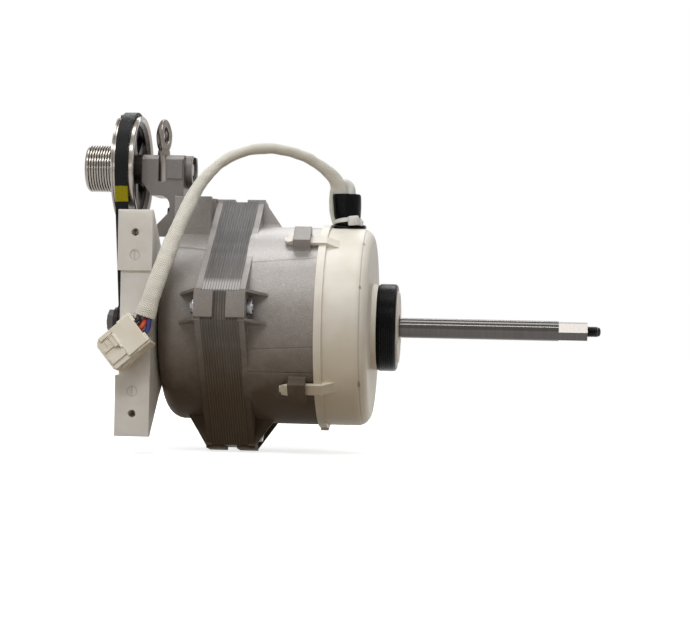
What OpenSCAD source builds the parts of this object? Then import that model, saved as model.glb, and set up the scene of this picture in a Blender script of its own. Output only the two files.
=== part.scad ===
// Dryer motor with a belt-driven countershaft.
// X runs along the motor shaft towards its long end, -Y is the face of the foot, +Z is towards the countershaft.
// The origin lies on the motor axis, at the middle of the front rubber ring.

/* [Motor shaft] */
// Diameter of the shaft
shaft_d = 12; // [10:0.5:14]
// Plain shaft in front of the middle of the rubber ring
shaft_front_len = 102; // [60:1:160]
// Length of the two flats at the front end
flats_len = 17; // [8:1:30]
// Width across the two flats
flats_af = 10.2; // [8:0.1:11]
// Diameter of the threaded front tip
tip_d = 5.6; // [4:0.2:8]
// Length of the threaded front tip
tip_len = 7; // [4:0.5:12]
// Diameter of the rear end that carries the pulley
shaft_rear_d = 8; // [6:0.5:9.5]

/* [Front cover] */
// Width of the front rubber ring
ring_w = 11.6; // [8:0.2:16]
// Outer diameter of the front rubber ring
ring_d = 52.4; // [48:0.2:58]
// Diameter of the hub that carries the ring
hub_d = 44; // [42:0.5:45]
// Height of the raised boss behind the ring
boss_h = 3; // [1:0.5:6]
// Depth of the cover from its face to its rim
cover_depth = 30.2; // [24:0.2:40]
// Outer diameter of the cover
cover_d = 118.6; // [114:0.2:120]
// Wall of the cover
cover_wall = 2.5; // [1.5:0.1:4]
// Radius of the rounded edge of the cover face
cover_round = 8; // [3:0.5:12]
// Height of the rim round the open end of the cover
rim_h = 1.9; // [1:0.1:4]
// Width of that rim
rim_w = 4.5; // [3:0.5:8]
// Width of a snap tongue
tongue_w = 7; // [5:0.5:10]
// Thickness of a snap tongue
tongue_t = 2; // [1.4:0.1:3]
// Length of a snap tongue behind the rim
tongue_len = 20; // [17:0.5:26]

/* [Castings] */
// Outer diameter of the round part of the front casting
front_shield_d = 118.6; // [114:0.2:120]
// Length of the front casting from the cover to the stator
front_shield_len = 41.5; // [36:0.5:50]
// Outer diameter of the round part of the rear casting
rear_shield_d = 115; // [110:0.5:118]
// Length of the rear casting behind the stator
rear_shield_len = 29; // [24:0.5:36]
// Radius of the rounded rear edge
rear_round = 10; // [4:0.5:14]
// Wall of both castings
cast_wall = 3.5; // [2.5:0.1:5]
// Length of the rear bearing hub
rear_hub_len = 20; // [18:0.5:26]
// Diameter of the rear bearing hub
rear_hub_d = 40; // [37:0.5:42]
// Width of a corner lug
lug_w = 15; // [12:0.5:16]
// How far a lug reaches over the stator corner
lug_reach = 7; // [3:0.5:9]
// Thickness of a casting flange against the stator
flange_t = 4; // [3:0.5:6]
// Length of the gussets behind a lug
gusset_len = 11; // [6:0.5:14]
// Thickness of a gusset
gusset_t = 1.7; // [1.3:0.1:3]

/* [Stator] */
// Length of the lamination stack
stack_len = 21.5; // [18:0.5:30]
// Distance from the axis to a flat side of the stack
stack_flat = 58.5; // [57:0.5:60]
// Distance from the axis to a cut corner
stack_corner = 74; // [72:0.5:76]
// Angle of the near corner above the horizontal
corner_tilt = 9; // [0:1:20]
// Diameter of the stator bore
bore_d = 71.6; // [66:0.2:74]
// Number of stator teeth
tooth_n = 12; // [6:3:12]
// Width of a tooth
tooth_w = 8; // [6:0.5:9]
// Diameter of the through screws
screw_d = 5; // [4:0.5:5.5]
// Distance of the through screws from the axis
screw_r = 66; // [65:0.5:67]

/* [Rotor] */
// Gap between the magnets and the stator bore
air_gap = 0.8; // [0.5:0.1:1.2]
// Thickness of a magnet
magnet_t = 3.4; // [2:0.2:5]
// Number of magnets
magnet_n = 8; // [4:2:12]

/* [Foot block] */
// Width of the foot block along the shaft
foot_w = 20; // [16:0.5:24]
// Length of the foot face
foot_l = 130; // [120:1:140]
// Distance from the motor axis to the foot face
foot_h = 65; // [60:0.5:75]
// Distance between the two screw holes
foot_hole_gap = 104; // [96:1:110]
// Diameter of the screw holes
foot_hole_d = 4.3; // [3:0.1:5.5]
// Depth of the screw holes
foot_hole_depth = 13; // [6:0.5:14]
// Depth of the recess between the two pads
foot_recess = 1.2; // [0.5:0.1:3]
// Thickness of the rubber round the rear hub
rear_ring_t = 4; // [3:0.5:6]

/* [Belt drive] */
// Height of the countershaft above the motor shaft
axle_h = 93.3; // [91:0.1:110]
// Diameter of the countershaft
axle_d = 8; // [7:0.5:9]
// Radius at which the belt runs on the motor pulley
small_r = 10; // [8:0.5:12]
// Radius at which the belt runs on the large pulley
large_r = 32; // [28:0.5:34]
// Width of the belt
belt_w = 9; // [7:0.5:12]
// Thickness of the belt
belt_t = 2.3; // [1.5:0.1:3]
// Number of spokes in the large pulley
spoke_n = 6; // [3:1:8]
// Outer diameter of the ribbed drum pulley
drum_d = 28.2; // [24:0.2:34]
// Number of ribs on the drum pulley
rib_n = 11; // [4:1:14]
// Distance from rib to rib
rib_pitch = 1.6; // [1.4:0.1:2.4]

/* [Pulley bracket] */
// Width of the bracket head
head_w = 30; // [28:0.5:34]
// Length of the bracket head along the countershaft
head_len = 25.5; // [24:0.5:30]
// Height of the head top above the countershaft
head_top = 7.8; // [7:0.2:10]
// Thickness of the upright plate of the bracket
leg_t = 4.5; // [3:0.5:6]
// Width of the slot for the tension eye
slot_w = 3.2; // [2.6:0.1:4]
// Height of the eye above the bracket head
eye_h = 22; // [16:0.5:28]

/* [Wiring] */
// Diameter of the black gland sleeve
gland_d = 16; // [13:0.5:18]
// Height of the gland above the cover
gland_h = 20; // [14:0.5:26]
// Diameter of the braided sleeve
sleeve_d = 8; // [6:0.5:9]
// Width of the connector
plug_w = 22; // [18:0.5:26]
// Length of the connector
plug_l = 25; // [20:0.5:30]
// Thickness of the connector
plug_t = 12; // [10:0.5:14]

/* [Hidden] */

$fn = 96;
eps = 0.01;
fit = 0.05;
run = 0.1;

// Places along the shaft, from front to back
ring_front_x = ring_w / 2;
boss_face_x = -ring_w / 2;
cover_face_x = boss_face_x - boss_h;
cover_back_x = cover_face_x - cover_depth;
stack_front_x = cover_back_x - front_shield_len;
stack_back_x = stack_front_x - stack_len;
rear_wall_x = stack_back_x - rear_shield_len;
rear_hub_x = rear_wall_x - rear_hub_len;
tip_x = shaft_front_len + flats_len + tip_len;

// Ball bearings of the motor shaft
bearing_d = 32;
bearing_w = 10;
race_t = 2.5;
ball_d = bearing_d / 2 - shaft_d / 2 - 2 * race_t - 2 * run;
ball_ring_r = (bearing_d / 2 + shaft_d / 2) / 2;
lip_t = 2;
flats_turn = 7;
hub_nose = 1;
front_hub_x = ring_front_x - hub_nose - 2;
front_bearing_x = front_hub_x - lip_t - bearing_w;
wave_t = 1.2;
rear_bearing_x = rear_hub_x + lip_t + wave_t;
front_hub_r = hub_d / 2 - 3;

// Rotor
rotor_len = stack_len + 2;
rotor_back_x = stack_back_x - 1;
rotor_r = bore_d / 2 - air_gap;
seat_d = shaft_d + 5;
seat_extra = 8;

// Stator
casting_in_r = min(front_shield_d, rear_shield_d) / 2 - cast_wall;
yoke_r = casting_in_r - 4;
shoe_t = 2.2;
slot_mouth = 3;
insulator_r = casting_in_r - 1.5;
insulator_t = 1.5;
insulator_wall = 1.6;
insulator_h = 8;
coil_t = 6;
coil_side = 3.2;
lamination_groove = 0.25;
lamination_pitch = stack_len / 14;
flange_inset = 0.4;

// Snap tongues of the cover and the bridges over them
tongue_z = max(front_shield_d, cover_d) / 2 + 1.4;
tongue_root = 14;
bridge_l = 10;
bridge_gap = 4.6;
bridge_wall = 3;

// Screws through the corners
screw_head_d = 10;
screw_head_t = 2.8;
screw_nut_af = 8.4;
screw_nut_t = 3.2;
screw_end = 0.5;
screw_room = 0.4;

// Circuit board
board_x = cover_back_x + cover_depth * 0.4;
board_t = 1.6;
board_mid_r = (cover_d / 2 + front_hub_r) / 2;
chip_w = 12;
chip_h = 4;

// Foot block
foot_front_x = rear_wall_x - 1;
foot_back_x = foot_front_x - foot_w;
foot_mid_x = foot_front_x - foot_w / 2;
foot_ring_r = rear_hub_d / 2 + rear_ring_t + fit;
foot_band = 6;
pad_l = 35;
mark_gap = 78;
mark_d = 5;
foot_back_recess = 1.8;

// Belt drive
pulley_lip = 1;
pulley_boss = 2.3;
pulley_w = belt_w + 2 * pulley_lip + pulley_boss;
pulley_front_x = min(rear_hub_x, foot_back_x) - 1.2;
belt_mid_x = pulley_front_x - pulley_lip - belt_w / 2;
belt_front_x = belt_mid_x + belt_w / 2;
belt_back_x = belt_mid_x - belt_w / 2;
pulley_back_x = pulley_front_x - pulley_w;
large_front_x = belt_front_x + 3;
large_back_x = belt_back_x - 1.3;
nut_t = 5;
nut_af = 13;
drum_len = rib_n * rib_pitch + 2.4;
drum_back_x = large_back_x - drum_len - 0.2;
hub_r = 9;
rim_t = 3;
web_t = 4;

// Countershaft bearings
small_bearing_d = 16;
small_bearing_w = 5;
small_race_t = 1.2;
small_ball_d = small_bearing_d / 2 - axle_d / 2 - 2 * small_race_t - 2 * run;
small_ball_r = (small_bearing_d / 2 + axle_d / 2) / 2;

// Pulley bracket
head_back_x = large_front_x + 2;
head_front_x = head_back_x + head_len;
boss_len = 4;
boss_front_x = head_front_x + boss_len;
boss_r = 11.5;
head_z = axle_h + head_top;
box_top_z = rear_shield_d / 2 + 18.5;
box_front_x = stack_back_x - flange_t + flange_inset;
box_back_x = rear_wall_x + 3.5;
box_y0 = -22;
box_y1 = 3;
bracket_screw_y = box_y1 - 5.5;
head_under_z = box_top_z + 0.6;
leg_back_x = box_back_x - leg_t;
leg_foot_z = rear_shield_d / 2 - rear_round / 2 - 0.5;
foot_rib_w = 8;
slot_y = -9.7;
slot_x0 = head_back_x + 3;
slot_x1 = head_front_x - 3;
slot_floor_z = head_under_z + 1.4;
eye_x = head_back_x + 12.2;
eye_pin_z = slot_floor_z + 4;
eye_pin_d = 3;
groove_w = 4.4;
groove_z = eye_pin_z + 3;
eye_t = slot_w - 0.6;
eye_shank_w = 5;
eye_neck_w = 7.4;
eye_leaf_w = 10.4;
eye_leaf_t = 5;
eye_turn = 60;

// Gland and harness
gland_x = -25;
gland_z = cover_d / 2;
gland_top_z = gland_z + gland_h;
wire_d = 1.9;
plug_mid = [-144.6, -73.2, -10.4];
plug_turn = 40.8;
socket_places = [-6.3, -2.1, 2.1, 6.3];

// Route of the braided sleeve, from the gland to the wires
sleeve_route = [
    [-27.2, 0, 76.5], [-27.2, 0, 81.5], [-30, -1, 88.5], [-36.5, -4, 94.5], [-44, -7, 98.5],
    [-53, -11, 102], [-63, -15, 104.5], [-73, -20, 105], [-83, -24.5, 103.5], [-93, -29.5, 99],
    [-101, -35, 92.5], [-107.5, -40.5, 84], [-112.5, -45.5, 74], [-116.5, -51.5, 63],
    [-120, -57, 52.5], [-123, -62, 42], [-126, -66.5, 31.5], [-129, -70, 21],
    [-131.5, -72, 12], [-133.9, -72.9, 3.6]
];
wire_places = [[1.5, 1.3, 1.2], [1.5, -1.3, 1.2], [-1.5, 1.3, 6.6], [-1.5, -1.3, 6.6]];
function plug_point(x, y, z) =
    plug_mid + [x * cos(plug_turn) - z * sin(plug_turn), y, x * sin(plug_turn) + z * cos(plug_turn)];

// Placing helpers

// Turns a shape drawn as radius and length so that its length lies along X.
module turned(profile) {
    rotate([0, 90, 0])
        rotate_extrude()
            polygon(profile);
}

// A tube along X from x0 to x1.
module tube(outer_r, inner_r, x0, x1) {
    turned([[inner_r, x0], [outer_r, x0], [outer_r, x1], [inner_r, x1]]);
}

// A cylinder along X from x0 to x1.
module bar(r, x0, x1) {
    translate([x0, 0, 0])
        rotate([0, 90, 0])
            cylinder(r = r, h = x1 - x0);
}

// Draws a flat shape in the Y-Z plane and gives it a length along X.
module slab(x0, x1) {
    translate([x0, 0, 0])
        rotate([90, 0, 90])
            linear_extrude(x1 - x0)
                children();
}

// Draws a flat shape in the X-Z plane and gives it a depth along Y.
module wall(y0, y1) {
    translate([0, y1, 0])
        rotate([90, 0, 0])
            linear_extrude(y1 - y0)
                children();
}

// Turns what points up to an angle above the near side.
module around(angle) {
    rotate([90 - angle, 0, 0])
        children();
}

// Repeats what points up at the four corners of the stator.
module at_corners() {
    for (i = [0:3])
        around(corner_tilt + 90 * i)
            children();
}

// Repeats what points up at the middle of the four flats.
module at_flats() {
    for (i = [0:3])
        around(corner_tilt + 45 + 90 * i)
            children();
}

function arc(cx, cy, r, a0, a1, n = 12) =
    [for (i = [0:n]) let (a = a0 + (a1 - a0) * i / n) [cx + r * cos(a), cy + r * sin(a)]];

// Motor shaft and rotor

module motor_shaft() {
    r = shaft_d / 2;
    seat_x0 = rotor_back_x - seat_extra;
    seat_x1 = rotor_back_x + rotor_len + seat_extra;
    rear_end_x = pulley_back_x - nut_t;
    clip_x = ring_front_x + hub_nose + 0.3;
    color("silver") {
        difference() {
            turned([
                [0, rear_end_x], [shaft_rear_d / 2 - 0.8, rear_end_x],
                [shaft_rear_d / 2, rear_end_x + 0.8], [shaft_rear_d / 2, pulley_front_x],
                [r, pulley_front_x], [r, seat_x0], [seat_d / 2, seat_x0],
                [seat_d / 2, seat_x1], [r, seat_x1],
                [r, clip_x], [r - 0.4, clip_x], [r - 0.4, clip_x + 1], [r, clip_x + 1],
                [r, shaft_front_len + flats_len],
                [tip_d / 2, shaft_front_len + flats_len],
                [tip_d / 2, tip_x - 0.8], [tip_d / 2 - 0.8, tip_x], [0, tip_x]
            ]);
            slab(shaft_front_len, shaft_front_len + flats_len + 1)
                difference() {
                    circle(r = shaft_d);
                    rotate(flats_turn)
                        circle(d = flats_af / cos(30), $fn = 6);
                }
        }
    }
}

module rotor_core() {
    color("dimgray")
        tube(rotor_r - magnet_t - fit, seat_d / 2 + fit, rotor_back_x, rotor_back_x + rotor_len);
}

module rotor_magnets() {
    step = 360 / magnet_n;
    half = step / 2 - 2;
    color("darkslategray")
        for (i = [0:magnet_n - 1])
            rotate([i * step, 0, 0])
                slab(rotor_back_x, rotor_back_x + rotor_len)
                    polygon(concat(
                        arc(0, 0, rotor_r, 90 - half, 90 + half),
                        arc(0, 0, rotor_r - magnet_t, 90 + half, 90 - half)
                    ));
}

module motor_pulley() {
    lip = pulley_lip;
    bore = shaft_rear_d / 2 + fit;
    boss_x = pulley_back_x + pulley_boss;
    color("dimgray")
        turned([
            [bore, pulley_back_x], [small_r - 1, pulley_back_x], [small_r - 1, boss_x], [small_r + lip, boss_x],
            [small_r + lip, belt_back_x - 0.2], [small_r, belt_back_x - 0.2],
            [small_r, belt_front_x + 0.2], [small_r + lip, belt_front_x + 0.2],
            [small_r + lip, pulley_front_x - eps], [bore, pulley_front_x - eps]
        ]);
}

module pulley_nut() {
    color("gray")
        translate([pulley_back_x - nut_t + 1, 0, 0])
            rotate([0, 90, 0])
                difference() {
                    cylinder(d = nut_af / cos(30), h = nut_t - 1 - eps, $fn = 6);
                    translate([0, 0, -1])
                        cylinder(d = shaft_rear_d + 2 * fit, h = nut_t + 2, $fn = 48);
                }
}

// Ball bearings

module bearing_inner(x0, shaft, width, race) {
    tube(shaft / 2 + race, shaft / 2 + fit / 2, x0, x0 + width);
}

module bearing_outer(x0, outer, width, race) {
    tube(outer / 2 - fit / 2, outer / 2 - race, x0, x0 + width);
}

module bearing_balls(x0, width, ring_r, ball, count) {
    for (i = [0:count - 1])
        rotate([i * 360 / count, 0, 0])
            translate([x0 + width / 2, 0, ring_r])
                sphere(d = ball, $fn = 32);
}

module front_bearing_inner() {
    color("silver")
        bearing_inner(front_bearing_x, shaft_d, bearing_w, race_t);
}

module front_bearing_outer() {
    color("silver")
        bearing_outer(front_bearing_x, bearing_d, bearing_w, race_t);
}

module front_bearing_balls() {
    color("lightgray")
        bearing_balls(front_bearing_x, bearing_w, ball_ring_r, ball_d, 7);
}

module rear_bearing_inner() {
    color("silver")
        bearing_inner(rear_bearing_x, shaft_d, bearing_w, race_t);
}

module rear_bearing_outer() {
    color("silver")
        bearing_outer(rear_bearing_x, bearing_d, bearing_w, race_t);
}

module rear_bearing_balls() {
    color("lightgray")
        bearing_balls(rear_bearing_x, bearing_w, ball_ring_r, ball_d, 7);
}

module wave_washer() {
    color("gray")
        tube(bearing_d / 2 - 0.3, bearing_d / 2 - race_t, rear_bearing_x - wave_t, rear_bearing_x);
}

// Stator

// Outline of the stack: a square with its corners cut off.
module stack_outline(grow = 0) {
    rotate(45 - corner_tilt)
        intersection() {
            square(2 * (stack_flat + grow), center = true);
            rotate(45)
                square(2 * (stack_corner + grow), center = true);
        }
}

// The open slots between the teeth.
module tooth_gaps() {
    difference() {
        circle(r = yoke_r);
        circle(r = bore_d / 2 + shoe_t);
        for (i = [0:tooth_n - 1])
            rotate(i * 360 / tooth_n)
                translate([0, -tooth_w / 2])
                    square([yoke_r + 5, tooth_w]);
    }
    for (i = [0:tooth_n - 1])
        rotate((i + 0.5) * 360 / tooth_n)
            translate([0, -slot_mouth / 2])
                square([bore_d / 2 + shoe_t + 0.5, slot_mouth]);
}

module stator_core() {
    color("slategray")
        difference() {
            slab(stack_back_x, stack_front_x)
                difference() {
                    stack_outline();
                    circle(d = bore_d);
                    tooth_gaps();
                }
            for (i = [1:13])
                slab(stack_back_x + i * lamination_pitch - 0.2, stack_back_x + i * lamination_pitch + 0.2)
                    difference() {
                        stack_outline(1);
                        stack_outline(-lamination_groove);
                    }
            at_corners()
                translate([0, 0, screw_r])
                    bar(screw_d / 2 + 0.3, stack_back_x - 1, stack_front_x + 1);
        }
}

// One coil round a tooth, drawn on the tooth that points up.
module coil() {
    inner_l = stack_len + 2 * insulator_t + 0.4;
    inner_w = tooth_w + 1;
    r0 = bore_d / 2 + shoe_t + 1;
    translate([(stack_front_x + stack_back_x) / 2, 0, r0])
        linear_extrude(yoke_r - r0 - 0.8)
            difference() {
                square([inner_l + 2 * coil_t, inner_w + 2 * coil_side], center = true);
                square([inner_l, inner_w], center = true);
            }
}

module stator_windings() {
    color("peru")
        for (i = [0:tooth_n - 1])
            rotate([i * 360 / tooth_n, 0, 0])
                coil();
}

// A plastic end piece against the stack face at face_x, which grows towards the given side.
module insulator(face_x, side) {
    outer_r = insulator_r;
    wall_r = outer_r - insulator_wall;
    plate_x = face_x + side * insulator_t;
    wall_x = face_x + side * insulator_h;
    color("ivory")
        difference() {
            turned([
                [bore_d / 2 + 0.3, face_x], [outer_r, face_x], [outer_r, wall_x],
                [wall_r, wall_x], [wall_r, plate_x], [bore_d / 2 + 0.3, plate_x]
            ]);
            slab(face_x - insulator_t - 1, face_x + insulator_t + 1)
                tooth_gaps();
        }
}

module insulator_front() {
    insulator(stack_front_x, 1);
}

module insulator_rear() {
    insulator(stack_back_x, -1);
}

// Castings

// A corner lug that points up: its block, the lip over the stack and two gussets.
// The stack face lies at x = 0 and the lug grows towards +x when side is 1.
module corner_lug(body_r, side) {
    lip = 1.8;
    lug_top = stack_corner + lip;
    difference() {
        union() {
            translate([side > 0 ? 0 : -flange_t, -lug_w / 2, body_r - cast_wall + 0.2])
                cube([flange_t, lug_w, lug_top - body_r + cast_wall - 0.2]);
            translate([side > 0 ? -lug_reach : -eps, -lug_w / 2, stack_corner])
                cube([lug_reach + eps, lug_w, lip]);
            for (edge = [-1, 1])
                translate([0, edge * (lug_w / 2 + gusset_t / 2), 0])
                    wall(-gusset_t / 2, gusset_t / 2)
                        polygon([
                            [0, body_r - cast_wall], [0, lug_top - 1.5], [side * flange_t, lug_top - 1.5],
                            [side * (flange_t + gusset_len), body_r - 0.5],
                            [side * (flange_t + gusset_len), body_r - cast_wall]
                        ]);
        }
        translate([0, 0, screw_r])
            bar(screw_d / 2 + 0.3, -flange_t - 1, flange_t + 1);
    }
}

// A cast bridge over a snap tongue, drawn pointing up.
module snap_bridge() {
    body_r = front_shield_d / 2;
    window_top = tongue_z + tongue_t + 1.4;
    half_w = tongue_w / 2 + 0.5 + bridge_wall;
    x0 = cover_back_x - bridge_gap - bridge_l;
    difference() {
        translate([x0, -half_w, body_r - 2])
            cube([bridge_l, 2 * half_w, window_top + bridge_wall - body_r + 2]);
        translate([x0 - 1, -tongue_w / 2 - 0.5, body_r + 0.6])
            cube([bridge_l + 2, tongue_w + 1, window_top - body_r - 0.6]);
    }
}

module front_end_shield() {
    r = front_shield_d / 2;
    disc_x = cover_back_x - 6;
    color("darkgray") {
        difference() {
            union() {
                tube(r, r - cast_wall, stack_front_x, cover_back_x);
                slab(stack_front_x, stack_front_x + flange_t - flange_inset)
                    difference() {
                        stack_outline(-flange_inset);
                        circle(r = r - cast_wall - 0.5);
                    }
                tube(r - cast_wall + eps, front_hub_r - 1, disc_x - cast_wall, disc_x);
                turned([
                    [bearing_d / 2 + fit / 2, disc_x - cast_wall], [front_hub_r, disc_x - cast_wall],
                    [front_hub_r, front_hub_x], [shaft_d / 2 + 2, front_hub_x],
                    [shaft_d / 2 + 2, front_hub_x - lip_t], [bearing_d / 2 + fit / 2, front_hub_x - lip_t]
                ]);
                translate([stack_front_x, 0, 0])
                    at_corners()
                        corner_lug(r, 1);
                at_flats()
                    snap_bridge();
            }
            at_corners()
                translate([0, 0, screw_r])
                    bar(screw_d / 2 + 0.3, stack_front_x - 1, stack_front_x + flange_t + 1);
            at_corners()
                translate([0, 0, screw_r])
                    bar(screw_nut_af / 2 / cos(30) + screw_room, stack_front_x + flange_t + 0.3,
                        stack_front_x + flange_t + 8);
            for (angle = [0, 120, 240])
                around(angle)
                    translate([disc_x - cast_wall / 2, 0, (front_hub_r + r) / 2])
                        cube([cast_wall + 2, 18, 12], center = true);
        }
    }
}

// Profile of the rear casting with its rounded edge.
function rear_profile(r, inset) = concat(
    [[rear_hub_d / 2 - 1, rear_wall_x + inset]],
    [for (p = arc(r - rear_round, rear_wall_x + rear_round, rear_round - inset, -90, 0)) p],
    [[r - inset, stack_back_x + eps * inset]]
);

module rear_end_shield() {
    r = rear_shield_d / 2;
    seat_r = bearing_d / 2 + fit / 2;
    color("darkgray") {
        difference() {
            union() {
                turned(concat(
                    rear_profile(r, 0),
                    [[r, stack_back_x], [r - cast_wall, stack_back_x]],
                    [for (p = arc(r - rear_round, rear_wall_x + rear_round, rear_round - cast_wall, 0, -90)) p],
                    [[rear_hub_d / 2 - 1, rear_wall_x + cast_wall]]
                ));
                turned([
                    [seat_r, rear_wall_x + cast_wall], [seat_r, rear_hub_x + lip_t],
                    [shaft_d / 2 + 2, rear_hub_x + lip_t], [shaft_d / 2 + 2, rear_hub_x],
                    [rear_hub_d / 2, rear_hub_x], [rear_hub_d / 2, rear_wall_x + cast_wall]
                ]);
                slab(stack_back_x - flange_t + flange_inset, stack_back_x)
                    difference() {
                        stack_outline(-flange_inset);
                        circle(r = r - cast_wall - 0.5);
                    }
                translate([stack_back_x, 0, 0])
                    at_corners()
                        corner_lug(r, -1);
                bracket_box();
            }
            at_corners()
                translate([0, 0, screw_r])
                    bar(screw_d / 2 + 0.3, stack_back_x - flange_t - 1, stack_back_x + 1);
            at_corners()
                translate([0, 0, screw_r])
                    bar(screw_head_d / 2 + screw_room, stack_back_x - flange_t - 8, stack_back_x - flange_t - 0.3);
            bracket_screw_places()
                rotate([0, 90, 0])
                    translate([0, 0, -1])
                        cylinder(d = 4.4, h = 13);
        }
    }
}

// The box on top of the rear casting that the pulley bracket is screwed to.
module bracket_box() {
    r = rear_shield_d / 2;
    difference() {
        translate([box_back_x, box_y0, 40])
            cube([box_front_x - box_back_x + eps, box_y1 - box_y0, box_top_z - 40]);
        bar(r - 1, box_back_x - 1, box_front_x + 1);
        translate([box_back_x + 14, box_y0 + 5, r + 4])
            cube([box_front_x - box_back_x, box_y1 - box_y0 - 10, box_top_z]);
    }
}

module bracket_screw_places() {
    for (drop = [9.3, 18.5])
        translate([box_back_x, bracket_screw_y, box_top_z - drop])
            children();
}

module screw(head_d, head_t, shank_d, length) {
    rotate([0, 90, 0]) {
        translate([0, 0, -head_t])
            cylinder(d1 = head_d - 1.5, d2 = head_d, h = head_t / 2);
        translate([0, 0, -head_t / 2])
            cylinder(d = head_d, h = head_t / 2);
        translate([0, 0, -eps])
            cylinder(d = shank_d, h = length);
    }
}

module through_screws() {
    color("silver")
        at_corners()
            translate([stack_back_x - flange_t, 0, screw_r])
                screw(screw_head_d, screw_head_t, screw_d, stack_len + 2 * flange_t + screw_nut_t + screw_end);
}

module screw_nuts() {
    color("silver")
        at_corners()
            translate([stack_front_x + flange_t, 0, screw_r])
                rotate([0, 90, 0])
                    difference() {
                        cylinder(d = screw_nut_af / cos(30), h = screw_nut_t, $fn = 6);
                        translate([0, 0, -1])
                            cylinder(d = screw_d + 2 * fit, h = screw_nut_t + 2, $fn = 48);
                    }
}

module bracket_screws() {
    color("silver")
        bracket_screw_places()
            translate([-leg_t, 0, 0])
                screw(8, 3, 4.2, leg_t + 11);
}

// Front cover and rubber rings

// A snap tongue that points up: a strip with an arrow head and a gusset on the cover.
module snap_tongue() {
    z = tongue_z;
    x_end = cover_back_x - tongue_len;
    translate([0, 0, z])
        linear_extrude(tongue_t)
            polygon([
                [cover_back_x + 3, -tongue_w / 2], [cover_back_x + 3, tongue_w / 2],
                [x_end + 6, tongue_w / 2], [x_end, tongue_w / 4],
                [x_end, -tongue_w / 4], [x_end + 6, -tongue_w / 2]
            ]);
    translate([0, 0, z + tongue_t - eps])
        wall(-tongue_w / 2, tongue_w / 2)
            polygon([[x_end + 5.6, 0], [x_end + 5.6, 1.3], [x_end + 1, 0]]);
    wall(-tongue_w / 2, tongue_w / 2)
        polygon([
            [cover_back_x, z], [cover_back_x, z + tongue_t],
            [cover_back_x + rim_w, z + tongue_t], [cover_back_x + tongue_root, cover_d / 2 - 1],
            [cover_back_x + rim_w, cover_d / 2 - 1]
        ]);
}

module front_cover() {
    r = cover_d / 2;
    hub_front_x = ring_front_x + hub_nose;
    seat_r = front_hub_r + fit;
    color("ivory")
        difference() {
            union() {
                turned(concat(
                    [[seat_r, cover_face_x], [seat_r, cover_face_x - cover_wall]],
                    [for (p = arc(r - cover_round, cover_face_x - cover_round, cover_round - cover_wall, 90, 0)) p],
                    [[r - cover_wall, cover_back_x], [r + rim_h, cover_back_x],
                     [r + rim_h, cover_back_x + rim_w], [r, cover_back_x + rim_w]],
                    [for (p = arc(r - cover_round, cover_face_x - cover_round, cover_round, 0, 90)) p]
                ));
                turned([
                    [seat_r, cover_face_x - eps], [ring_d / 2 - 0.4, cover_face_x - eps],
                    [ring_d / 2 - 0.4, boss_face_x], [hub_d / 2, boss_face_x],
                    [hub_d / 2, hub_front_x - 1], [hub_d / 2 - 1, hub_front_x],
                    [shaft_d / 2 + 2, hub_front_x], [shaft_d / 2 + 2, front_hub_x + fit],
                    [seat_r, front_hub_x + fit]
                ]);
                at_flats()
                    snap_tongue();
                around(-90)
                    translate([cover_back_x, -4, r])
                        cube([rim_w, 8, 3.4]);
            }
            for (i = [0:2])
                around(90 + 120 * i)
                    translate([hub_front_x - 0.8, -1.5, hub_d / 2 - 8])
                        cube([2, 3, 5]);
            translate([gland_x, 0, r - 6])
                cylinder(d = gland_d - 3 + 2 * fit, h = 8);
        }
}

// A rubber ring with rounded edges that lies round the X axis.
module rubber_ring(inner_r, outer_r, x0, x1, round_r) {
    turned(concat(
        [[inner_r, x0]],
        arc(outer_r - round_r, x0 + round_r, round_r, -90, 0, 6),
        arc(outer_r - round_r, x1 - round_r, round_r, 0, 90, 6),
        [[inner_r, x1]]
    ));
}

module front_mount_ring() {
    color("black")
        rubber_ring(hub_d / 2 + fit, ring_d / 2, boss_face_x, ring_front_x, 2);
}

module rear_mount_ring() {
    color("black")
        rubber_ring(rear_hub_d / 2 + fit, foot_ring_r - fit, foot_back_x + 1, foot_front_x - 1, 0.6);
}

module circuit_board() {
    color("darkgreen")
        difference() {
            tube(cover_d / 2 - cover_wall - 1.5, front_hub_r + fit, board_x, board_x + board_t);
            translate([gland_x, 0, cover_d / 2 - gland_d + 2])
                cylinder(d = gland_d + 4, h = gland_d + 4);
        }
}

module board_parts() {
    x = board_x + board_t;
    color("dimgray") {
        for (angle = [200, 230, 260])
            around(angle)
                translate([x, -chip_w / 2, board_mid_r - 10])
                    cube([chip_h, chip_w, 2 * chip_h]);
        for (angle = [20, 330])
            around(angle)
                translate([x, 0, board_mid_r])
                    rotate([0, 90, 0])
                        cylinder(d = chip_w, h = 2 * chip_h + 1);
    }
}

// Foot block

// Outline of the foot block seen along the shaft.
module foot_outline() {
    band_r = foot_ring_r + foot_band;
    half = foot_l / 2;
    polygon([
        [-foot_h, -half], [-foot_h + 3, -half], [-36, -43], [-14, -band_r + 2],
        [0, -foot_ring_r - 2], [0, foot_ring_r + 2], [-14, band_r - 2],
        [-36, 43], [-foot_h + 3, half], [-foot_h, half]
    ]);
    circle(r = band_r);
}

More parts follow.
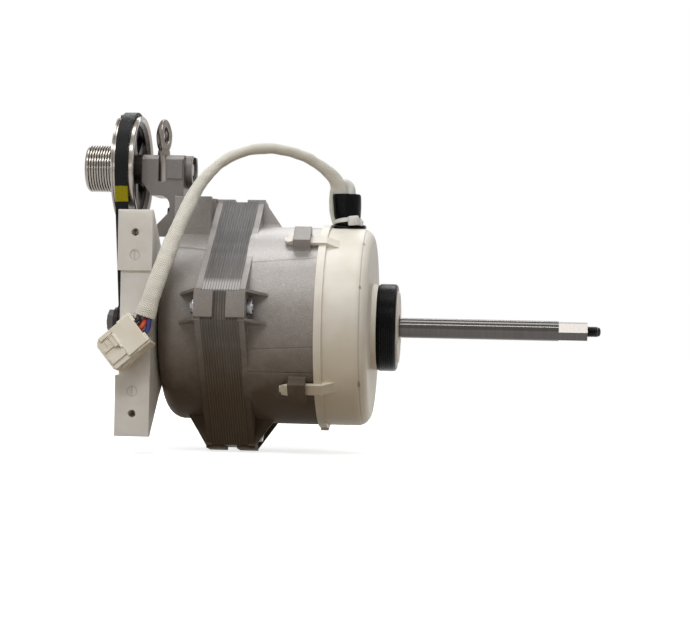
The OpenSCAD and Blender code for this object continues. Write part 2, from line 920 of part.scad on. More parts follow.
module mounting_block() {
    color("whitesmoke")
        difference() {
            slab(foot_back_x, foot_front_x)
                difference() {
                    foot_outline();
                    circle(r = foot_ring_r);
                }
            translate([foot_back_x - 1, -foot_h - 1, -foot_l / 2 + pad_l])
                cube([foot_w + 2, 1 + foot_recess, foot_l - 2 * pad_l]);
            translate([foot_back_x - 1, -foot_h - 1, -foot_l / 2 + pad_l])
                cube([1 + foot_back_recess, foot_h / 2, foot_l - 2 * pad_l]);
            for (side = [-1, 1]) {
                translate([foot_mid_x, -foot_h - 1, side * foot_hole_gap / 2])
                    rotate([-90, 0, 0])
                        cylinder(d = foot_hole_d, h = foot_hole_depth + 1);
                translate([foot_mid_x, -foot_h - 1, side * mark_gap / 2])
                    rotate([-90, 0, 0])
                        cylinder(d = mark_d, h = 1.3);
            }
        }
}

// Countershaft and its pulleys, drawn round the countershaft axis

module on_axle() {
    translate([0, 0, axle_h])
        children();
}

module countershaft() {
    r = axle_d / 2;
    x0 = drum_back_x - 1;
    x1 = boss_front_x - 1;
    color("silver")
        on_axle()
            turned([
                [0, x0], [r - 0.6, x0], [r, x0 + 0.6], [r, x1 - 2.1], [r - 0.5, x1 - 2.1],
                [r - 0.5, x1 - 0.9], [r, x1 - 0.9], [r, x1 - 0.5], [r - 0.5, x1], [0, x1]
            ]);
}

module countershaft_circlip() {
    x1 = boss_front_x - 1;
    color("silver")
        on_axle()
            difference() {
                tube(axle_d / 2 + 1.4, axle_d / 2 - 0.5 + fit, x1 - 2, x1 - 1);
                translate([x1 - 3, -1.2, -axle_d])
                    cube([4, 2.4, axle_d]);
            }
}

// The ribbed profile: each groove is a V between two ribs.
function rib_points(r, x0) = [
    for (i = [0:rib_n - 1], p = [
        [r, x0 + (i + 0.2) * rib_pitch], [r, x0 + (i + 0.5) * rib_pitch],
        [r - 1.1, x0 + (i + 0.75) * rib_pitch], [r - 1.1, x0 + (i + 0.95) * rib_pitch]
    ]) p
];

module drum_pulley() {
    r = drum_d / 2;
    bore = axle_d / 2 + fit;
    edge = 1.2;
    color("silver")
        on_axle()
            turned(concat(
                [[bore, drum_back_x], [r - 1, drum_back_x], [r, drum_back_x + edge]],
                rib_points(r, drum_back_x + edge),
                [[r, drum_back_x + drum_len - edge], [r, drum_back_x + drum_len],
                 [bore, drum_back_x + drum_len]]
            ));
}

module large_pulley() {
    bore = axle_d / 2 + fit;
    rim_in = large_r - rim_t;
    spoke_x = belt_mid_x + 1;
    color("gainsboro")
        on_axle() {
            turned([
                [rim_in, large_back_x], [large_r + 1, large_back_x], [large_r + 1, large_back_x + 1],
                [large_r, large_back_x + 1], [large_r, large_front_x - 0.6],
                [large_r - 0.6, large_front_x], [large_r - 2, large_front_x],
                [rim_in - 2.5, large_front_x - 3], [rim_in - 2.5, large_front_x - 4],
                [rim_in, large_front_x - 6]
            ]);
            tube(hub_r, bore, large_back_x, head_back_x - 0.6);
            for (i = [0:spoke_n - 1])
                rotate([i * 360 / spoke_n + 12, 0, 0])
                    slab(spoke_x - web_t / 2, spoke_x + web_t / 2)
                        polygon([[-3.4, hub_r - 1], [3.4, hub_r - 1], [2, rim_in + 1], [-2, rim_in + 1]]);
            tube(hub_r + 3, hub_r - eps, spoke_x - web_t / 2 + 0.5, spoke_x + web_t / 2 - 0.5);
        }
}

module at_small_bearings() {
    for (x = [head_back_x + 0.4, boss_front_x - 3.4 - small_bearing_w])
        translate([x, 0, axle_h])
            children();
}

module countershaft_bearings() {
    color("silver")
        at_small_bearings()
            bearing_outer(0, small_bearing_d, small_bearing_w, small_race_t);
}

module countershaft_races() {
    color("silver")
        at_small_bearings()
            bearing_inner(0, axle_d, small_bearing_w, small_race_t);
}

module countershaft_balls() {
    color("lightgray")
        at_small_bearings()
            bearing_balls(0, small_bearing_w, small_ball_r, small_ball_d, 8);
}

// Outline of a belt round both pulleys, in the Y-Z plane, at a distance outside the running radius.
module belt_outline(out) {
    a = asin((large_r - small_r) / axle_h);
    polygon(concat(
        arc(0, axle_h, large_r + out, -a, 180 + a, 60),
        arc(0, 0, small_r + out, 180 + a, 360 - a, 30)
    ));
}

module drive_belt() {
    color("black")
        slab(belt_back_x, belt_front_x)
            difference() {
                belt_outline(run + belt_t);
                belt_outline(run);
            }
}

// Pulley bracket

// Side view of the bracket: head, fillet and upright plate.
module bracket_side() {
    fillet = 6;
    polygon(concat(
        [[head_back_x, head_z], [head_back_x, head_under_z + 8], [head_back_x + 6, head_under_z]],
        arc(leg_back_x - fillet, head_under_z - fillet, fillet, 90, 0, 8),
        [[leg_back_x, leg_foot_z], [box_back_x, leg_foot_z + leg_t], [box_back_x, head_under_z],
         [head_front_x, head_under_z], [head_front_x, head_z]]
    ));
}

// The sloped rib on the near side of the upright plate.
module foot_rib() {
    wall(-head_w / 2, -head_w / 2 + foot_rib_w)
        polygon([
            [leg_back_x + 1, leg_foot_z], [leg_back_x + 1, leg_foot_z + 15],
            [leg_back_x, leg_foot_z + 15], [leg_back_x - 8, leg_foot_z + 6.5], [leg_back_x - 8, leg_foot_z]
        ]);
}

// End view of the bracket with its bevelled front edge and rounded back.
module bracket_end() {
    half = head_w / 2;
    polygon([
        [-half, leg_foot_z - 1], [-half, head_z - 2.6], [-half + 2.6, head_z],
        [5, head_z], [11, head_z - 3], [half - 2, head_z - 10], [half - 2, leg_foot_z - 1]
    ]);
}

module pulley_bracket() {
    seat_r = small_bearing_d / 2 + fit / 2;
    color("gray")
        difference() {
            union() {
                intersection() {
                    wall(-head_w, head_w)
                        bracket_side();
                    slab(head_back_x - 1, head_front_x + 1)
                        bracket_end();
                }
                intersection() {
                    on_axle()
                        bar(boss_r, head_front_x - 1, boss_front_x);
                    translate([head_front_x - 2, -20, head_under_z])
                        cube([10, 40, head_z - head_under_z]);
                }
                foot_rib();
                translate([eye_x + 3, -head_w / 2 - 1.2, head_z - 14.5])
                    cube([head_front_x - eye_x - 3.6, 1.3, 11.5]);
            }
            on_axle() {
                bar(axle_d / 2 + 1, head_back_x - 1, boss_front_x + 1);
                bar(seat_r, head_back_x - 1, head_back_x + 0.4 + small_bearing_w);
                bar(seat_r, boss_front_x - 3.4 - small_bearing_w, boss_front_x + 1);
            }
            translate([slot_x0, slot_y - slot_w / 2, slot_floor_z])
                cube([slot_x1 - slot_x0, slot_w, 40]);
            translate([eye_x - groove_w / 2, -head_w / 2 - 2, groove_z])
                cube([groove_w, head_w / 2 + 2 + slot_y, 40]);
            translate([eye_x, slot_y - slot_w / 2 - 1.5, eye_pin_z])
                rotate([-90, 0, 0])
                    cylinder(d = eye_pin_d + 2 * fit, h = 30);
            bracket_screw_places()
                translate([-leg_t - 1, 0, 0])
                    rotate([0, 90, 0])
                        cylinder(d = 4.8, h = leg_t + 2);
        }
}

module eye_pin() {
    start_y = slot_y - slot_w / 2 - 1.4;
    end_y = -axle_d / 2 - 1.6;
    color("silver")
        translate([eye_x, start_y, eye_pin_z])
            rotate([-90, 0, 0])
                cylinder(d = eye_pin_d, h = end_y - start_y, $fn = 48);
}

// A leaf shape with pointed ends, made from two arcs.
module leaf(width, height) {
    r = (height * height / 4 + width * width / 4) / width;
    intersection() {
        translate([r - width / 2, 0])
            circle(r = r);
        translate([width / 2 - r, 0])
            circle(r = r);
    }
}

module tension_eye() {
    loop_h = eye_h - 1.5;
    loop_z = head_z + eye_h - loop_h / 2;
    color("silver")
        translate([eye_x, slot_y, 0]) {
            difference() {
                wall(-eye_t / 2, eye_t / 2)
                    polygon([
                        [-eye_shank_w / 2, slot_floor_z + 1], [eye_shank_w / 2, slot_floor_z + 1],
                        [eye_shank_w / 2, head_z - 4], [eye_neck_w / 2, head_z + 1], [eye_neck_w / 2, head_z + 4],
                        [-eye_neck_w / 2, head_z + 4], [-eye_neck_w / 2, head_z + 1], [-eye_shank_w / 2, head_z - 4]
                    ]);
                translate([0, -5, eye_pin_z])
                    rotate([-90, 0, 0])
                        cylinder(d = eye_pin_d + 2 * run, h = 10);
            }
            translate([0, 0, loop_z])
                rotate([0, 0, eye_turn])
                    wall(-eye_leaf_t / 2, eye_leaf_t / 2)
                        difference() {
                            leaf(eye_leaf_w, loop_h);
                            leaf(eye_leaf_w * 0.46, loop_h / 2);
                        }
        }
}

// Gland, tie and harness

module cable_gland() {
    r = gland_d / 2;
    plug_r = gland_d / 2 - 1.5;
    color("black")
        translate([gland_x, 0, 0])
            difference() {
                union() {
                    translate([0, 0, gland_z - cover_wall - 2])
                        cylinder(r = plug_r, h = 5);
                    translate([-r - 1, -r - 1, gland_z + 0.1])
                        cube([2 * r + 2, 2 * r + 2, 2.4]);
                    translate([0, 0, gland_z + 2])
                        cylinder(r1 = r - 0.8, r2 = r, h = gland_h - 2);
                }
                translate([0, 0, gland_top_z - 3])
                    cylinder(r = r - 1.6, h = 4);
            }
}

module cable_tie() {
    r = gland_d / 2;
    z = gland_z + 5;
    color("ivory")
        translate([gland_x, 0, z])
            difference() {
                union() {
                    cylinder(r = r + 1.4, h = 3);
                    translate([2, -r - 4.4, -0.6])
                        cube([7, 4.4, 4.4]);
                }
                translate([0, 0, -6])
                    cylinder(r = r + 0.25, h = 16);
            }
}

module side_lead() {
    color("ivory")
        translate([gland_x - gland_d / 2 - 3.2, 0, cover_d / 2 + rim_h + 0.2])
            cylinder(d = 2.6, h = gland_h - 2, $fn = 32);
}

module spare_sleeve() {
    color("ivory")
        translate([gland_x + 4.1, 0.6, gland_top_z - 2.9])
            difference() {
                cylinder(d = 4.2, h = 11, $fn = 32);
                translate([0, 0, 4])
                    cylinder(d = 3, h = 8, $fn = 32);
            }
}

function unit(v) = v / norm(v);

// Direction of a route at each of its points.
function heading(route, i) =
    let (last = len(route) - 1)
    unit(route[min(i + 1, last)] - route[max(i - 1, 0)]);

// Sweeps a round section of the given number of sides along a route.
module swept_tube(route, d, sides) {
    n = len(route);
    side_way = [0, 1, 0.2];
    points = [
        for (i = [0:n - 1])
            let (t = heading(route, i), u = unit(cross(t, side_way)), v = cross(t, u))
            for (k = [0:sides - 1])
                let (a = 360 * k / sides)
                route[i] + d / 2 * (cos(a) * u + sin(a) * v)
    ];
    skin = [
        for (i = [0:n - 2], k = [0:sides - 1])
            let (a = i * sides + k, b = i * sides + (k + 1) % sides)
            [a, b, b + sides, a + sides]
    ];
    start = [[for (k = [0:sides - 1]) sides - 1 - k]];
    end = [[for (k = [0:sides - 1]) (n - 1) * sides + k]];
    polyhedron(points = points, faces = [for (f = concat(skin, start, end)) [for (i = [len(f) - 1:-1:0]) f[i]]]);
}

module harness_sleeve() {
    color("ivory")
        swept_tube(sleeve_route, sleeve_d, 12);
}

// Puts what is drawn along its own X axis at the connector, with its mating end at -X.
module at_plug() {
    translate(plug_mid)
        rotate([0, -plug_turn, 0])
            children();
}

// Route of a wire from the end of the sleeve to the back of the connector.
// A place holds its offsets at the sleeve, across and along the view, and its height on the connector.
function wire_route(place) =
    let (
        last = len(sleeve_route) - 1,
        t = heading(sleeve_route, last),
        u = unit(cross(t, [0, 1, 0.2])),
        start = sleeve_route[last] + place[0] * u + place[1] * cross(t, u),
        y = -1.6 * place[1]
    )
    [start + 0.1 * t, start + 1.6 * t, plug_point(plug_l / 2 + 1.8, y, place[2]), plug_point(plug_l / 2 + 0.05, y, place[2])];

module harness_wires() {
    color("darkred")
        for (place = wire_places)
            swept_tube(wire_route(place), wire_d, 8);
}

module connector_housing() {
    color("ivory")
        at_plug()
            difference() {
                union() {
                    translate([-plug_l / 2, -plug_t / 2, -plug_w / 2 + 1.5])
                        cube([plug_l, plug_t, plug_w - 3]);
                    translate([plug_l / 2 - 9, -plug_t / 2, -plug_w / 2])
                        cube([7, plug_t, plug_w]);
                }
                for (z = socket_places)
                    translate([-plug_l / 2 - 1, -1.5, z - 1.5])
                        cube([12, 3, 3]);
                translate([-plug_l / 2 + 6, -plug_t / 2 - 1, -4])
                    cube([9, 2.6, 8]);
            }
}

module connector_terminals() {
    color("gold")
        at_plug()
            for (z = socket_places)
                translate([-plug_l / 2 + 4, -1.4, z - 1.4])
                    cube([7 - eps, 2.8, 2.8]);
}

motor_shaft();
rotor_core();
rotor_magnets();
motor_pulley();
pulley_nut();
front_bearing_inner();
front_bearing_outer();
front_bearing_balls();
rear_bearing_inner();
rear_bearing_outer();
rear_bearing_balls();
wave_washer();
stator_core();
stator_windings();
insulator_front();
insulator_rear();
front_end_shield();
rear_end_shield();
through_screws();
screw_nuts();
front_cover();
front_mount_ring();
circuit_board();
board_parts();
mounting_block();
rear_mount_ring();
pulley_bracket();
bracket_screws();
countershaft();
drum_pulley();
large_pulley();
countershaft_bearings();
countershaft_races();
countershaft_balls();
countershaft_circlip();
drive_belt();
tension_eye();
eye_pin();
cable_gland();
cable_tie();
side_lead();
spare_sleeve();
harness_sleeve();
harness_wires();
connector_housing();
connector_terminals();
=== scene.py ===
# The finished look of the dryer motor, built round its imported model.
import math

import bmesh
import bpy
from mathutils import Matrix, Vector, noise


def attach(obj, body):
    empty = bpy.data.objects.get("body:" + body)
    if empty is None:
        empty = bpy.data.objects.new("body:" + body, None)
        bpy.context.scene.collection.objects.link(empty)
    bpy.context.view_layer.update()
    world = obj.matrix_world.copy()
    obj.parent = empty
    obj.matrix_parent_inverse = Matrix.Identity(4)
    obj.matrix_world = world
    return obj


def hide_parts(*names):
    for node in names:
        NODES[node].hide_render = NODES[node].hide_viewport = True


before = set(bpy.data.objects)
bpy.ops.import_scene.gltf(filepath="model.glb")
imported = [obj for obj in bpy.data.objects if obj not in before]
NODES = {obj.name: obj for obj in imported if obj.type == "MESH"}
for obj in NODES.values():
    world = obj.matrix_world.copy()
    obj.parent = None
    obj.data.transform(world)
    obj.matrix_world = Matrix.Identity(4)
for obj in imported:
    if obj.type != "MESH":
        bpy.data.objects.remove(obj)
bpy.context.scene.view_settings.view_transform = "Standard"
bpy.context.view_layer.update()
MM = 0.001

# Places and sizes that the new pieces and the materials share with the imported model, in metres
AXLE_Z = 93.3 * MM
BELT_MID = -158.0 * MM
BELT_W = 7.6 * MM
LARGE_PULLEY_R = 32 * MM
SMALL_PULLEY_R = 10 * MM
PLUG_MID = Vector((-144.6, -74.0, -11.0)) * MM
PLUG_TURN = math.radians(40.8)
PLUG_TILT = math.radians(12)
PLUG_SIZE = Vector((25, 12, 22)) * MM
EYE_X, EYE_Y, EYE_MIDDLE_Z = -137 * MM, -9.7 * MM, 112.85 * MM
SHAFT_ROUND_END = 101.9 * MM
TIP_START, TIP_END, TIP_R = 119 * MM, 126 * MM, 2.8 * MM
STACK_W, STACK_GROOVES = 21.5 * MM, 14
COVER_STEP = -13.2 * MM
FLOOR_Z = -76.2 * MM

# The castings are round as far out as ROUND_R, and what lies beyond LUG_R is a lug or a bridge
ROUND_R, LUG_R = 60.3 * MM, 61.5 * MM

# The large pulley is rough within SPOKES_R as far along X as SPOKES_END, and within WEB_R all the way
SPOKES_R, SPOKES_END, WEB_R = 29.9 * MM, -153.3 * MM, 28.8 * MM

# Lines that the moulds left on the castings: height at X = 0, slope, and ends along X
FRONT_SEAMS = (
    (44 * MM, 0.1, -80 * MM, -38 * MM),
    (-10 * MM, 0.05, -80 * MM, -38 * MM),
    (-27 * MM, 0, -78 * MM, -38 * MM),
)
REAR_SEAMS = ((33 * MM, -0.1, -132 * MM, -104 * MM),)

# Round marks of the mould on the foot block, as X and Z, only in front of FOOT_FRONT_Y. Each is a circle with
# a line up through it, which reaches a little past the circle
MOULD_MARKS = ((-142 * MM, -39 * MM), (-142 * MM, 39 * MM))
MOULD_MARK_R, MOULD_LINE_REACH = 2.8 * MM, 3.4 * MM
FOOT_FRONT_Y = -50 * MM

# The paint mark on the front of the belt
PAINT_TOP, PAINT_BOTTOM, PAINT_Y = 81.1 * MM, 72 * MM, -26 * MM

# The brown film, partly dust and oil and partly painted shade, darkens the motor low down. It begins at the
# first height below, is full at the second, and its edge is as ragged as the third number
FILM_AND_SHADE_TOP, FILM_AND_SHADE_BOTTOM, FILM_AND_SHADE_RAGGED = 56 * MM, -28 * MM, 26 * MM


# Camera

def make_camera(place, turn, tip, roll, lens):
    """A camera that looks along +Y, turned to the left, tipped down and rolled by the given degrees."""
    turn, tip, roll = (math.radians(a) for a in (turn, tip, roll))
    forward = Vector((-math.sin(turn) * math.cos(tip), math.cos(turn) * math.cos(tip), -math.sin(tip)))
    level = Vector((math.cos(turn), math.sin(turn), 0))
    above = level.cross(forward)
    right = level * math.cos(roll) + above * math.sin(roll)
    above = above * math.cos(roll) - level * math.sin(roll)
    camera = bpy.data.objects.new("camera", bpy.data.cameras.new("camera"))
    camera.data.lens = lens
    camera.matrix_world = Matrix.Translation(place) @ Matrix((right, above, -forward)).transposed().to_4x4()
    bpy.context.collection.objects.link(camera)
    bpy.context.scene.camera = camera


make_camera(place=Vector((65.9, -1052.3, 6.15)) * MM, turn=5, tip=0, roll=1.18, lens=91.3)


# Materials

def srgb(red, green, blue):
    """A colour as a screen shows it, from 0 to 255, in the linear light of the shaders."""
    def linear(c):
        return c / 255 / 12.92 if c < 11 else ((c / 255 + 0.055) / 1.055) ** 2.4
    return (linear(red), linear(green), linear(blue), 1.0)


class Surface:
    """A procedural material. Its helpers add nodes that feed one Principled shader."""

    def __init__(self, name, roughness=0.5, metallic=0.0, **constants):
        self.material = bpy.data.materials.new(name)
        self.material.use_nodes = True
        self.tree = self.material.node_tree
        self.tree.nodes.clear()
        output = self.add("OutputMaterial")
        self.shader = self.add("BsdfPrincipled")
        self.feed(output.inputs["Surface"], self.shader.outputs["BSDF"])
        self.shader.inputs["Roughness"].default_value = roughness
        self.shader.inputs["Metallic"].default_value = metallic
        self.set(**constants)
        self.place = self.add("TexCoord").outputs["Object"]
        self.normal = None

    def add(self, kind, **settings):
        """A new shader node of this kind."""
        node = self.tree.nodes.new("ShaderNode" + kind)
        for key, value in settings.items():
            setattr(node, key, value)
        return node

    def feed(self, socket, value):
        """Links a socket to another one, or gives it a plain value."""
        if isinstance(value, bpy.types.NodeSocket):
            self.tree.links.new(value, socket)
        else:
            socket.default_value = value

    def math(self, operation, a, b=0.0):
        """One operation on numbers or sockets."""
        node = self.add("Math", operation=operation)
        self.feed(node.inputs[0], a)
        self.feed(node.inputs[1], b)
        return node.outputs[0]

    def noise(self, size, detail=3.0, rough=0.55, stretch=(1, 1, 1)):
        """Noise from 0 to 1 with features about size metres wide, drawn out where stretch is above 1."""
        mapping = self.add("Mapping")
        self.feed(mapping.inputs["Vector"], self.place)
        mapping.inputs["Scale"].default_value = [1 / size / s for s in stretch]
        node = self.add("TexNoise")
        node.inputs["Scale"].default_value = 1
        node.inputs["Detail"].default_value = detail
        node.inputs["Roughness"].default_value = rough
        self.feed(node.inputs["Vector"], mapping.outputs[0])
        return node.outputs[0]

    def axis(self, name, place=None):
        """The X, Y or Z of a vector, or else of the place on the surface."""
        split = self.add("SeparateXYZ")
        self.feed(split.inputs[0], place or self.place)
        return split.outputs[name]

    def stripes(self, along, pitch):
        """Waves from 0 to 1, one for each pitch metres of the socket along."""
        turns = self.math("MULTIPLY", along, 2 * math.pi / pitch)
        return self.math("MULTIPLY_ADD", self.math("SINE", turns), 0.5)

    def level(self, value, low, high, to_low=0.0, to_high=1.0):
        """Maps a value from between low and high to between to_low and to_high."""
        node = self.add("MapRange")
        for socket, number in zip(node.inputs, (value, low, high, to_low, to_high)):
            self.feed(socket, number)
        return node.outputs[0]

    def mix(self, share, a, b):
        """The colour a, and as much of b as the share from 0 to 1."""
        # Sockets 6 and 7 of this node, and its output 2, are the ones for colours
        node = self.add("Mix", data_type="RGBA")
        for index, value in ((0, share), (6, a), (7, b)):
            self.feed(node.inputs[index], value)
        return node.outputs[2]

    def vector(self, operation, a, b=(0, 0, 0)):
        """One operation on vectors."""
        node = self.add("VectorMath", operation=operation)
        self.feed(node.inputs[0], a)
        self.feed(node.inputs[1], b)
        return node.outputs["Value" if operation in ("DOT_PRODUCT", "LENGTH") else "Vector"]

    def turned(self, value, into):
        """A normal as the world sees it, into the piece's own directions, or back."""
        outer = "OBJECT" if into == "WORLD" else "WORLD"
        node = self.add("VectorTransform", vector_type="NORMAL", convert_from=outer, convert_to=into)
        self.feed(node.inputs[0], value)
        return node.outputs[0]

    def lathe(self, height, until):
        """Smooths the facets that lie round the line along X at this height, as far along as until."""
        flat = self.turned(self.add("NewGeometry").outputs["True Normal"], "OBJECT")
        lengthwise = self.vector("MULTIPLY", flat, (1, 0, 0))
        across = self.vector("MULTIPLY", flat, (0, 1, 1))
        spoke = self.vector("SUBTRACT", self.place, (0, 0, height))
        spoke = self.vector("NORMALIZE", self.vector("MULTIPLY", spoke, (0, 1, 1)))
        outward = self.vector("DOT_PRODUCT", across, spoke)
        size = self.vector("LENGTH", across)
        almost = self.math("MULTIPLY", size, 0.97)
        is_round = self.math("GREATER_THAN", self.math("ABSOLUTE", outward), almost)
        is_round = self.math("MULTIPLY", is_round, self.math("LESS_THAN", self.axis("X"), until))
        node = self.add("VectorMath", operation="SCALE")
        self.feed(node.inputs[0], spoke)
        self.feed(node.inputs["Scale"], self.math("MULTIPLY", size, self.math("SIGN", outward)))
        smooth = self.vector("ADD", lengthwise, node.outputs[0])
        # Sockets 4 and 5 of this node, and its output 1, are the ones for vectors
        mix = self.add("Mix", data_type="VECTOR")
        for index, value in ((0, is_round), (4, flat), (5, smooth)):
            self.feed(mix.inputs[index], value)
        self.normal = self.turned(mix.outputs[1], "WORLD")
        self.feed(self.shader.inputs["Normal"], self.normal)

    def film_and_shade(self):
        """Share from 0 to 1 of the brown film low on the motor, which is partly dust and oil and partly
        painted shade.
        """
        ragged = self.math("MULTIPLY", self.noise(9 * MM, 4, 0.6), FILM_AND_SHADE_RAGGED)
        return self.level(self.math("ADD", self.axis("Z"), ragged), FILM_AND_SHADE_TOP, FILM_AND_SHADE_BOTTOM)

    def round_edges(self, radius):
        """Lets the light run softly over sharp edges."""
        node = self.add("Bevel")
        node.samples = 4
        node.inputs["Radius"].default_value = radius
        self.normal = node.outputs[0]
        self.feed(self.shader.inputs["Normal"], self.normal)

    def bump(self, height, depth):
        """Raises the surface by depth metres where height is 1."""
        node = self.add("Bump")
        node.inputs["Distance"].default_value = depth
        self.feed(node.inputs["Height"], height)
        if self.normal:
            self.feed(node.inputs["Normal"], self.normal)
        self.normal = node.outputs[0]
        self.feed(self.shader.inputs["Normal"], self.normal)

    def set(self, **inputs):
        """Feeds the shader's inputs, whose names are written with _ for a space."""
        for key, value in inputs.items():
            self.feed(self.shader.inputs[key.replace("_", " ")], value)


def cast_metal(name, pale, dark, sparkle, seams=(), lug_shade=0.0):
    """Blasted die casting: fine grains, stains, a few long scratches, soft edges and parting lines.

    sparkle is how bright the painted glints on its coarsest grains are. seams are the lines that the mould
    left on the near side, each as its height at X = 0, its slope and its ends along X. The last argument is
    how much painted shade darkens the lugs and bridges.
    """
    s = Surface(name, metallic=0.05)
    s.round_edges(0.5 * MM)
    film_and_shade = s.film_and_shade()
    grain = s.noise(0.6 * MM, 4, 0.7)
    stain = s.noise(26 * MM, 3)
    scratch = s.noise(0.9 * MM, 1, 0.3, stretch=(26, 1, 1))
    colour = s.mix(s.level(grain, 0.3, 0.7), dark, pale)
    # Painted glints: near-white specks that stand for light caught by the coarsest grains.
    glint = s.level(s.noise(1.1 * MM, 2, 0.7), 0.62, 0.72)
    colour = s.mix(s.math("MULTIPLY", glint, sparkle), colour, srgb(226, 223, 219))
    reach = s.vector("LENGTH", s.vector("MULTIPLY", s.place, (0, 1, 1)))
    # Painted shade: the lugs and bridges beyond the round body are darker.
    colour = s.mix(s.level(reach, ROUND_R, LUG_R, 0, lug_shade), colour, srgb(84, 76, 70))
    colour = s.mix(s.level(stain, 0.5, 0.75, 0, 0.35), colour, dark)
    colour = s.mix(s.level(scratch, 0.8, 0.84, 0, 0.35), colour, srgb(205, 201, 194))
    height, along, near = s.axis("Z"), s.axis("X"), s.axis("Y")
    for start, slope, low, high in seams:
        rise = s.math("MULTIPLY", along, slope)
        off = s.math("ABSOLUTE", s.math("SUBTRACT", s.math("SUBTRACT", height, rise), start))
        here = s.math("MULTIPLY", s.level(along, low, low + MM), s.level(along, high, high - MM))
        here = s.math("MULTIPLY", here, s.level(near, 0, -5 * MM))
        line = s.math("MULTIPLY", s.level(off, 0.55 * MM, 0.15 * MM), here)
        colour = s.mix(s.math("MULTIPLY", line, 0.55), colour, dark)
        s.bump(line, -0.2 * MM)
    # Painted shade and oil: the brown film makes the lower half darker, browner and duller.
    colour = s.mix(s.math("MULTIPLY", film_and_shade, 0.92), colour, srgb(88, 75, 58))
    rough = s.math("ADD", s.level(grain, 0.3, 0.7, 0.33, 0.42), s.math("MULTIPLY", film_and_shade, 0.2))
    s.set(Base_Color=colour, Roughness=rough, Specular_IOR_Level=s.level(film_and_shade, 0, 1, 0.9, 0.06))
    s.bump(grain, 0.1 * MM)
    s.bump(s.noise(7 * MM, 2), 0.2 * MM)
    return s.material


def turned_metal(name, pale, dark, roughness, line=0.35 * MM, depth=0.002 * MM, uneven=0.08, height=None,
                 until=1.0, raw=None):
    """Turned steel: fine lines round the X axis, as wide as line and as deep as depth, and darker bands.

    uneven is how much duller the dull lines are. height is that of the axis, and until is how far along X the
    piece is round. raw is a radius, a place along X and a second radius: the piece is as it was cast within
    the first radius as far as that place, and within the second all the way.
    """
    s = Surface(name, metallic=1.0)
    if height is not None:
        s.lathe(height, until)
    lines = s.noise(line, 2, 0.6, stretch=(1, 60, 60))
    bands = s.noise(14 * MM, 2, 0.5, stretch=(1, 8, 8))
    colour = s.mix(s.level(lines, 0.2, 0.8), dark, pale)
    colour = s.mix(s.level(bands, 0.5, 0.75, 0, 0.3), colour, dark)
    shine = s.level(lines, 0.3, 0.7, roughness, roughness + uneven)
    if raw:
        spoke = s.vector("MULTIPLY", s.vector("SUBTRACT", s.place, (0, 0, height)), (0, 1, 1))
        radius, raw_end, inner_radius = raw
        away = s.vector("LENGTH", spoke)
        before_end = s.math("LESS_THAN", s.axis("X"), raw_end)
        inside = s.math("MULTIPLY", s.math("LESS_THAN", away, radius), before_end)
        inside = s.math("MAXIMUM", inside, s.math("LESS_THAN", away, inner_radius))
        colour = s.mix(inside, colour, s.mix(s.noise(3 * MM), srgb(38, 34, 31), srgb(88, 82, 77)))
        shine = s.math("ADD", shine, s.math("MULTIPLY", inside, 0.16))
    s.set(Base_Color=colour, Roughness=shine)
    if depth:
        s.bump(lines, depth)
    return s.material


def moulded_plastic(name, pale, shade, roughness=0.42, dirt=None, step=None, marks=(), **constants):
    """Moulded plastic: soft mottling, fine skin, and small dark spots where dirt is a colour.

    step is the place along X of a fine edge all round, where dirt stays, and a piece that has one gets
    painted warm light from below, which makes it yellower low down. marks are the places X, Z of the round
    marks that the mould left on the foot block.
    """
    s = Surface(name, **constants)
    s.round_edges(0.35 * MM)
    mottle = s.noise(18 * MM, 3)
    skin = s.noise(0.5 * MM, 3, 0.6)
    colour = s.mix(s.level(mottle, 0.35, 0.7), pale, shade)
    colour = s.mix(s.level(skin, 0.3, 0.8, 0, 0.25), colour, shade)
    if dirt:
        spots = s.noise(3.2 * MM, 5, 0.7)
        patches = s.noise(35 * MM, 2)
        where = s.math("MULTIPLY", s.level(spots, 0.7, 0.78), s.level(patches, 0.52, 0.6))
        colour = s.mix(s.math("MULTIPLY", where, 0.7), colour, dirt)
    if step is not None:
        # Painted warm light from below: yellower towards the bottom.
        colour = s.mix(s.level(s.axis("Z"), 5 * MM, -60 * MM, 0, 0.8), colour, srgb(222, 210, 180))
        off = s.math("ABSOLUTE", s.math("SUBTRACT", s.axis("X"), step))
        edge = s.level(off, 0.5 * MM, 0.2 * MM)
        here_and_there = s.level(s.noise(12 * MM, 3, 0.6), 0.59, 0.64)
        caught = s.math("MULTIPLY", s.level(off, 1.0 * MM, 0.5 * MM), here_and_there)
        colour = s.mix(s.math("MULTIPLY", edge, 0.3), colour, dirt)
        colour = s.mix(s.math("MULTIPLY", caught, 0.75), colour, dirt)
        s.bump(edge, -0.15 * MM)
    for x, z in marks:
        away = s.vector("MULTIPLY", s.vector("SUBTRACT", s.place, (x, 0, z)), (1, 0, 1))
        distance = s.vector("LENGTH", away)
        from_circle = s.math("ABSOLUTE", s.math("SUBTRACT", distance, MOULD_MARK_R))
        circle = s.level(from_circle, 0.45 * MM, 0.15 * MM)
        line = s.level(s.math("ABSOLUTE", s.axis("X", away)), 0.45 * MM, 0.15 * MM)
        line = s.math("MULTIPLY", line, s.math("LESS_THAN", distance, MOULD_LINE_REACH))
        mark = s.math("MAXIMUM", circle, line)
        mark = s.math("MULTIPLY", mark, s.math("LESS_THAN", s.axis("Y"), FOOT_FRONT_Y))
        colour = s.mix(s.math("MULTIPLY", mark, 0.35), colour, dirt)
        s.bump(mark, -0.15 * MM)
    s.set(Base_Color=colour, Roughness=s.level(skin, 0.3, 0.7, roughness - 0.05, roughness + 0.08))
    s.bump(skin, 0.02 * MM)
    s.bump(mottle, 0.12 * MM)
    return s.material


